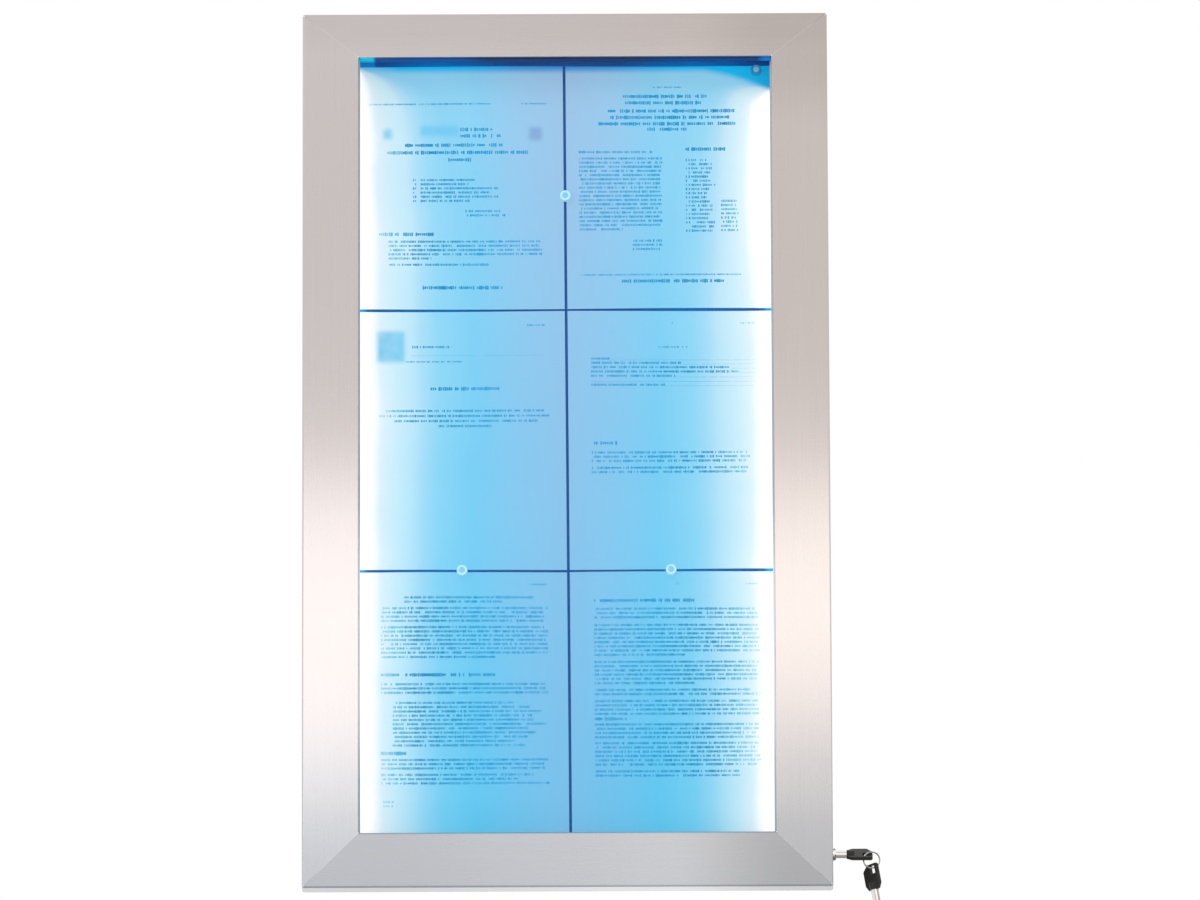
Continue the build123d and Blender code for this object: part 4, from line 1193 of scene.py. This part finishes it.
repeat_tree, entry = new_tree(
    "repeat_template", ("Template", "Object"), ("Spin", "Float"), ("Seed", "Int"), ("Finish", "Material"),
)
copied = add(repeat_tree, "GeometryNodeObjectInfo", {"Object": entry["Template"]}, output="Geometry")
spin = {"Axis": UPWARD, "Angle": spread(repeat_tree, 0.0, entry["Spin"], entry["Seed"])}
spin = add(repeat_tree, "FunctionNodeAxisAngleToRotation", spin)
ahead = add(repeat_tree, "GeometryNodeInputNamedAttribute", {"Name": "facing"}, data_type="FLOAT_VECTOR")
facing = add(repeat_tree, "FunctionNodeAlignRotationToVector", {"Vector": ahead}, axis="Z")
turn = add(repeat_tree, "FunctionNodeRotateRotation", {0: facing, 1: spin}, rotation_space="LOCAL")
placed = {"Points": entry["Geometry"], "Instance": copied, "Rotation": turn}
close_tree(repeat_tree, add(repeat_tree, "GeometryNodeInstanceOnPoints", placed), entry["Finish"])


def repeated(name, template, spots, spin, body, slot, finish, *replaced):
    """A template put on every spot, given as (place, facing), as one piece."""
    mesh = bpy.data.meshes.new(f"{name}_spots")
    mesh.from_pydata([place for place, _ in spots], [], [])
    facing = mesh.attributes.new("facing", "FLOAT_VECTOR", "POINT")
    for item, (_, direction) in zip(facing.data, spots):
        item.vector = direction
    piece = link(name, mesh)
    grow(piece, repeat_tree, {"Template": template, "Spin": spin, "Seed": SPIN_SEED, "Finish": finish})
    shade(piece.data)
    bpy.data.objects.remove(template)
    ready(piece, body, slot, finish, *replaced)


# %% Magnet finishes
# Painted light: the cyan of the shells and lenses and their glow stand for the side lamps' light in them, and
# shells near the head take a darker cyan, painted shade and lamp light under the top rail
SHELL_TONES = (display(190, 234, 248), display(208, 242, 252))
SHELL_HEAD_SHADE = display(40, 150, 200)
SHELL_HEAD_SHADE_EDGE = (open_top - 40 * MM, open_top - 20 * MM)
SHELL_GLOW = 0.14
SHELL_DEPTH = 2 * MM
LENS_LIGHT = display(96, 186, 220)
LENS_GLOW = 0.3

magnet_shell, tree, shader, place = new_finish("magnet_shell")
skin = noise(tree, place, 900.0)
_, _, height = axes(tree, place)
tone = mixed(tree, skin, *SHELL_TONES)
tone = mixed(tree, between(tree, height, 0.0, 1.0, *SHELL_HEAD_SHADE_EDGE), tone, SHELL_HEAD_SHADE)
fill(tree, shader, {
    "Base Color": tone, "Emission Color": tone, "Emission Strength": SHELL_GLOW,
    "Roughness": between(tree, skin, 0.18, 0.32), "Subsurface Weight": 0.4, "Subsurface Scale": SHELL_DEPTH,
})
roughen(tree, shader, skin, 0.05, 0.04 * MM)

magnet_lens = moulded("magnet_lens", (140, 204, 226), (104, 176, 206), 0.12, 0.22, 600.0, 0.05)
lit(magnet_lens, LENS_LIGHT, LENS_GLOW)
print("magnet finishes:", magnet_shell.name, magnet_lens.name)

# %% Magnets
MAGNET_SIDES = 40
FOOT_ROUND = 0.4 * MM
RIM_ROUND = 0.9 * MM
RIM_INSET = 0.35 * MM
DISH_RADIUS = 3.6 * MM
DISH_DEPTH = 1.1 * MM
POCKET_PLAY = 0.1 * MM
RIM_ANGLES = (12, 100)
LIP_DROP = 0.25 * MM
DISH_SLOPE = 0.3 * MM
DISH_RISE = 0.2 * MM
DISH_FLAT = 0.8
DISH_CROWN = 0.15 * MM
LENS_SEAT = 0.05 * MM
LENS_RADIUS = DISH_RADIUS * 0.86
LENS_SHOULDER = DISH_RADIUS * 0.6
LENS_HEIGHTS = (0.2 * MM, 0.32 * MM, 0.4 * MM)

cap_boxes = solid_boxes("magnet_caps")
cap_low, cap_high = cap_boxes[0]
cap_radius = (cap_high.x - cap_low.x) / 2
cap_depth = cap_high.y - cap_low.y
disc_low, disc_high = solid_boxes("magnet_discs")[0]
pocket_radius = (disc_high.x - disc_low.x) / 2 + POCKET_PLAY
pocket_depth = disc_high.y - disc_low.y
dish_floor = cap_depth - DISH_DEPTH

cap_profile = [(0, pocket_depth), (pocket_radius, pocket_depth), (pocket_radius, 0)]
cap_profile += arc((cap_radius - FOOT_ROUND, FOOT_ROUND), FOOT_ROUND, -90, 0, 3)
cap_profile += arc((cap_radius - RIM_ROUND - RIM_INSET, cap_depth - RIM_ROUND), RIM_ROUND, *RIM_ANGLES)
cap_profile += [(DISH_RADIUS, cap_depth - LIP_DROP), (DISH_RADIUS - DISH_SLOPE, dish_floor + DISH_RISE)]
cap_profile += [(DISH_RADIUS * DISH_FLAT, dish_floor), (0, dish_floor + DISH_CROWN)]
cap_spots = [(((low.x + high.x) / 2, high.y, (low.z + high.z) / 2), (0, -1, 0)) for low, high in cap_boxes]
cap_template = turned("cap_template", cap_profile, MAGNET_SIDES)
repeated("magnet_shells", cap_template, cap_spots, 0.0, "case", "magnet_cap", magnet_shell, "magnet_caps")

lens_profile = [(0, 0), (LENS_RADIUS, 0)]
lens_profile += zip((LENS_RADIUS, LENS_SHOULDER, 0), LENS_HEIGHTS)
lens_spots = [((x, y - dish_floor - LENS_SEAT, z), facing) for (x, y, z), facing in cap_spots]
lens_template = turned("lens_template", lens_profile, MAGNET_SIDES)
repeated("magnet_lenses", lens_template, lens_spots, 0.0, "case", "magnet_cap", magnet_lens)

# %% [markdown]
# Screws and rivets are seen when the door is open. Each screw has a domed pan head with a cross recess, and
# each rivet a domed head on both sides of what it holds.

# %% A screw with a cross recess
SCREW_SIDES = 24
CROWN_SHARE = 0.55
CROWN_STEPS = 6
RECESS_REACH = 0.62
RECESS_WIDTH = 0.24
RECESS_DEPTH = 0.6
RECESS_RISE = 1.02


def pan_screw(name, head_radius, head_depth, shaft_radius, shaft_length):
    """A screw with a domed head above the origin, a shaft below it and a cross recess."""
    crown = head_depth * CROWN_SHARE
    profile = [(0, -shaft_length), (shaft_radius, -shaft_length), (shaft_radius, 0), (head_radius, 0)]
    profile += [(head_radius, head_depth - crown)]
    for i in range(1, CROWN_STEPS):
        angle = math.radians(90 * i / CROWN_STEPS)
        profile.append((head_radius * math.cos(angle), head_depth - crown + crown * math.sin(angle)))
    screw = turned(name, profile + [(0, head_depth)], SCREW_SIDES)
    reach = head_radius * RECESS_REACH
    half = head_radius * RECESS_WIDTH / 2
    cross = bmesh.new()
    for length, width in ((reach, half), (half, reach)):
        arm = bmesh.ops.create_cube(cross, size=2.0)["verts"]
        bmesh.ops.scale(cross, vec=(length, width, head_depth * RECESS_DEPTH), verts=arm)
        bmesh.ops.translate(cross, vec=(0, 0, head_depth * RECESS_RISE), verts=arm)
    cutter = made("cross_cutter", cross)
    cut = screw.modifiers.new("recess", "BOOLEAN")
    cut.operation = "DIFFERENCE"
    cut.object = cutter
    cut.solver = "EXACT"
    cut.use_self = True
    bake(screw)
    bpy.data.objects.remove(cutter)
    return screw


print("screw template ready, sides:", SCREW_SIDES)

# %% Screws
def axis_spots(node, axis, seat, sign, inward=False):
    """Places of the seats under the heads along an axis, and the way that each head faces."""
    spots = []
    for low, high in solid_boxes(node):
        place = (low + high) / 2
        if inward:
            sign = -math.copysign(1, place.x)
        place[axis] = (low[axis] + seat) if sign < 0 else (high[axis] - seat)
        direction = Vector((0, 0, 0))
        direction[axis] = sign
        spots.append((tuple(place), tuple(direction)))
    return spots


def screw_set(name, node, axis, sizes, body, inward=False):
    """All the screws of a node as one piece, by radius and depth of the head and radius of the shaft."""
    head_radius, head_depth, shaft_radius = (size * MM for size in sizes)
    low, high = solid_boxes(node)[0]
    shaft = high[axis] - low[axis] - head_depth
    template = pan_screw(f"{name}_template", head_radius, head_depth, shaft_radius, shaft)
    spots = axis_spots(node, axis, head_depth, -1, inward)
    repeated(name, template, spots, math.tau, body, "zinc_steel", zinc_plate, node)


screw_set("cross_board_screws", "board_screws", 1, (3.5, 2.2, 2.0), "case")
screw_set("cross_cap_screws", "light_cap_screws", 0, (2.8, 1.6, 1.5), "case", inward=True)
screw_set("cross_strike_screws", "strike_screws", 1, (2.4, 1.4, 1.25), "case")
screw_set("cross_cam_screw", "cam_screw", 0, (3.0, 1.8, 1.5), "lock_barrel")

# %% Rivets
RIVET_SIDES = 20
RIVET_HEAD_RADIUS = 2.4 * MM
RIVET_HEAD_DEPTH = 0.8 * MM
RIVET_RADIUS = 1.2 * MM
DOME_ANGLES = (22, 45, 68)


def rivet_set(name, node, axis, body):
    """All the rivets of a node, with a domed head at both ends."""
    low, high = solid_boxes(node)[0]
    grip = high[axis] - low[axis] - 2 * RIVET_HEAD_DEPTH
    dome = [(math.cos(a), math.sin(a)) for a in map(math.radians, DOME_ANGLES)]
    profile = [(0, -grip - RIVET_HEAD_DEPTH)]
    profile += [(RIVET_HEAD_RADIUS * c, -grip - RIVET_HEAD_DEPTH * s) for c, s in reversed(dome)]
    profile += [(RIVET_HEAD_RADIUS, -grip), (RIVET_RADIUS, -grip), (RIVET_RADIUS, 0), (RIVET_HEAD_RADIUS, 0)]
    profile += [(RIVET_HEAD_RADIUS * c, RIVET_HEAD_DEPTH * s) for c, s in dome] + [(0, RIVET_HEAD_DEPTH)]
    template = turned(f"{name}_template", profile, RIVET_SIDES)
    spots = axis_spots(node, axis, RIVET_HEAD_DEPTH, 1)
    repeated(name, template, spots, math.tau, body, "zinc_steel", zinc_plate, node)


rivet_set("domed_case_rivets", "hinge_case_rivets", 0, "case")
rivet_set("domed_door_rivets", "hinge_door_rivets", 1, "door")

# %% [markdown]
# The members of the door are welded together on their mitres, and the polished welds show as four pale
# lines, their near-white tone partly a painted highlight where they catch the light. Each is a low ridge
# that fills the groove between the eased edges of two members and stays behind the face of the door.

# %% Welds on the mitres
WELD_HALF = 0.44 * MM
WELD_TOP = 0.92
WELD_DEEP = 0.45 * MM
WELD_BEHIND = 0.012 * MM
WELD_STOP = 0.02

door_low, door_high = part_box("door_left_stile")[0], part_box("door_right_stile")[1]
inner_corners = [(x, z) for x in (open_left, open_right) for z in (open_bottom, open_top)]
outer_corners = [(x, z) for x in (door_low.x, door_high.x) for z in (door_low.z, door_high.z)]
deep, behind = Vector((0, WELD_DEEP, 0)), Vector((0, WELD_BEHIND, 0))
ridges = bmesh.new()
for inner, outer in zip(inner_corners, outer_corners):
    inner = Vector((inner[0], face_y, inner[1]))
    outer = Vector((outer[0], face_y, outer[1])).lerp(inner, WELD_STOP)
    side = (outer - inner).normalized().cross(Vector((0, 1, 0)))
    section = [
        side * -WELD_HALF + deep, side * -WELD_HALF * WELD_TOP + behind,
        side * WELD_HALF * WELD_TOP + behind, side * WELD_HALF + deep,
    ]
    ends = [[ridges.verts.new(end + offset) for offset in section] for end in (inner, outer)]
    bridge(ridges, ends)
    for ring in ends:
        ridges.faces.new(ring)
bmesh.ops.recalc_face_normals(ridges, faces=ridges.faces)
ready(made("mitre_welds", ridges), "door", "brushed_steel", weld_steel)

# %% [markdown]
# ## Keys
# The shanks are polished tube, and polished tube mirrors the room as long bright and dark lines. A white
# studio has no such room, so the lines are part of the finish: each shank carries an attribute that says how
# far round its side a point is, and a ramp over it gives the tones. The rose of the lock gets its tones by
# height in the same way. The tip is eased and the tube is open, as on the real key.

# %% Polished finishes
TUBE_TONES = [
    (0.0, (140, 131, 126)), (0.1, (190, 181, 175)), (0.24, (150, 140, 134)), (0.32, (226, 220, 215)),
    (0.48, (248, 246, 244)), (0.58, (190, 181, 175)), (0.7, (216, 211, 207)), (0.86, (246, 245, 245)),
    (1.0, (184, 180, 180)),
]
ROSE_TONES = [
    (0.0, (126, 120, 118)), (0.1, (92, 86, 84)), (0.24, (176, 171, 169)), (0.5, (250, 249, 248)),
    (0.74, (226, 223, 222)), (0.88, (112, 106, 104)), (1.0, (156, 151, 150)),
]
SCRATCH = 0.03


def polish(tree, shader, place, share, tones):
    """Tones over a share, shifted a little by scratches."""
    scratches = noise(tree, place, 900.0, 3.0)
    share = calc(tree, "ADD", share, between(tree, scratches, -SCRATCH, SCRATCH), clamp=True)
    rough = between(tree, scratches, 0.10, 0.22)
    fill(tree, shader, {"Base Color": ramp(tree, share, tones), "Roughness": rough, "Metallic": 1.0})
    roughen(tree, shader, scratches, 0.05, 0.03 * MM)


tube_chrome, tree, shader, place = new_finish("tube_chrome")
round_place = add(tree, "ShaderNodeAttribute", {}, output="Fac", attribute_name="round_place")
polish(tree, shader, place, round_place, TUBE_TONES)

rose_low, rose_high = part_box("lock_housing")
rose_chrome, tree, shader, place = new_finish("rose_chrome")
_, _, height = axes(tree, place)
polish(tree, shader, place, between(tree, height, 0.0, 1.0, rose_low.z, rose_high.z), ROSE_TONES)
print("polished finishes:", tube_chrome.name, rose_chrome.name)

# %% Shanks
SHANK_SIDES = 48
SPARE_LEAN = math.radians(10)
TUBE_WALL = 1.25 * MM
SHANK_IN_BOW = 4 * MM
TIP_EASE = 0.4 * MM

shank_low, shank_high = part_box("key_shank")
shank_length = shank_high.x - shank_low.x
shank_radius = (shank_high.y - shank_low.y) / 2


def key_tube(name, node, body, ahead, side):
    """A tubular shank that points ahead from its tip, with its tones laid from one side to the other."""
    bore = shank_radius - TUBE_WALL
    floor = shank_length - SHANK_IN_BOW
    profile = [(0, floor), (bore, floor), (bore, TIP_EASE), (bore + TIP_EASE, 0), (shank_radius - TIP_EASE, 0)]
    profile += [(shank_radius, TIP_EASE), (shank_radius, shank_length), (0, shank_length)]
    piece = turned(name, profile, SHANK_SIDES)
    low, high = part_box(node)
    tip = (low + high) / 2 - ahead * shank_length / 2
    turn = ahead.to_track_quat("Z", "Y")
    tones = piece.data.attributes.new("round_place", "FLOAT", "POINT")
    for vert, tone in zip(piece.data.vertices, tones.data):
        off_tip = turn @ vert.co
        tone.value = 0.5 + 0.5 * off_tip.dot(side) / shank_radius
        vert.co = tip + off_tip
    ready(piece, body, "key_steel", tube_chrome, node)


lean_ahead = Vector((-math.sin(SPARE_LEAN), 0, math.cos(SPARE_LEAN)))
lean_side = Vector((-math.cos(SPARE_LEAN), 0, -math.sin(SPARE_LEAN)))
key_tube("key_tube", "key_shank", "key", Vector((1, 0, 0)), Vector((0, 0, 1)))
key_tube("spare_key_tube", "spare_key_shank", "spare_key", lean_ahead, lean_side)

# %% [markdown]
# ## Split ring
# The keys hang on a split ring: two turns of springy wire lying on each other, stepping over where the first
# turn becomes the second. A path of points round the circle gives it, moved from one layer to the other at
# the step, and a flattened circle is swept along it with closed ends.

# %% Split ring
WIRE_SIDES = 12
WIRE_BREADTH = 0.96
RING_STEPS = 144
RING_START = math.radians(60)
STEP_START = 0.94
STEP_TURNS = 0.12

ring_low, ring_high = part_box("key_ring")
ring_middle = (ring_low + ring_high) / 2
tube_radius = (ring_high.y - ring_low.y) / 2
wire_deep = tube_radius / 2
wire_broad = tube_radius * WIRE_BREADTH
ring_radius = (ring_high.x - ring_low.x) / 2 - tube_radius


def ring_point(step):
    """A point of the wire's middle line, over two turns."""
    turns = 2 * step / RING_STEPS
    angle = math.tau * turns + RING_START
    crossing = min(max((turns - STEP_START) / STEP_TURNS, 0.0), 1.0)
    layer = 2 * crossing * crossing * (3 - 2 * crossing) - 1
    x, z = ring_radius * math.cos(angle), ring_radius * math.sin(angle)
    return ring_middle + Vector((x, wire_deep * layer, z))


points = [ring_point(step) for step in range(RING_STEPS + 1)]
turns = [math.tau * k / WIRE_SIDES for k in range(WIRE_SIDES)]
wire = bmesh.new()
rings = []
for i, point in enumerate(points):
    ahead = (points[min(i + 1, RING_STEPS)] - points[max(i - 1, 0)]).normalized()
    side = Vector((0, 1, 0)).cross(ahead).normalized()
    up = ahead.cross(side)
    offsets = [side * wire_broad * math.cos(t) + up * wire_deep * math.sin(t) for t in turns]
    rings.append([wire.verts.new(point + offset) for offset in offsets])
bridge(wire, rings)
for end in (rings[0], rings[-1]):
    wire.faces.new(end)
bmesh.ops.recalc_face_normals(wire, faces=wire.faces)
split_ring = made("split_ring", wire)
shade(split_ring.data)
ready(split_ring, "ring", "key_steel", ring_steel, "key_ring")

# %% [markdown]
# ## Solids shown as they are
# The other solids already have their true shape, with real gauges and folds, so they only get a finish.

# %% Finishes on the solids that stay
DRESSED = (
    (tray_steel, "back_panel tray_left_side tray_right_side tray_top tray_bottom board_spacers"),
    (board_paint, "magnet_board"),
    (clear_pane, "door_pane"),
    (pane_rubber, "pane_gasket"),
    (seal_rubber, "door_seal cable_grommet"),
    (drawn_aluminium, "light_channel_left light_channel_right"),
    (opal_cover, "light_cover_left light_cover_right"),
    (lamp_strip, "light_strip_left light_strip_right"),
    (lamp_chip, "light_chips_left light_chips_right"),
    (lead_vinyl, "light_lead_left light_lead_right"),
    (lamp_end, "light_end_caps"),
    (terminal_white, "terminal_block"),
    (zinc_plate, "strike_bracket hinge_case_leaves hinge_pins hinge_door_leaves corner_brackets"),
    (zinc_plate, "clip_studs pane_clips clip_nuts lock_cam"),
    (nickel, "magnet_discs"),
    (lock_chrome, "lock_nut lock_plug"),
    (rose_chrome, "lock_housing"),
    (key_plastic, "key_bow spare_key_bow"),
)

for finish, names in DRESSED:
    for name in names.split():
        nodes[name].material_slots[0].material = finish
    print(finish.name, "on", names)
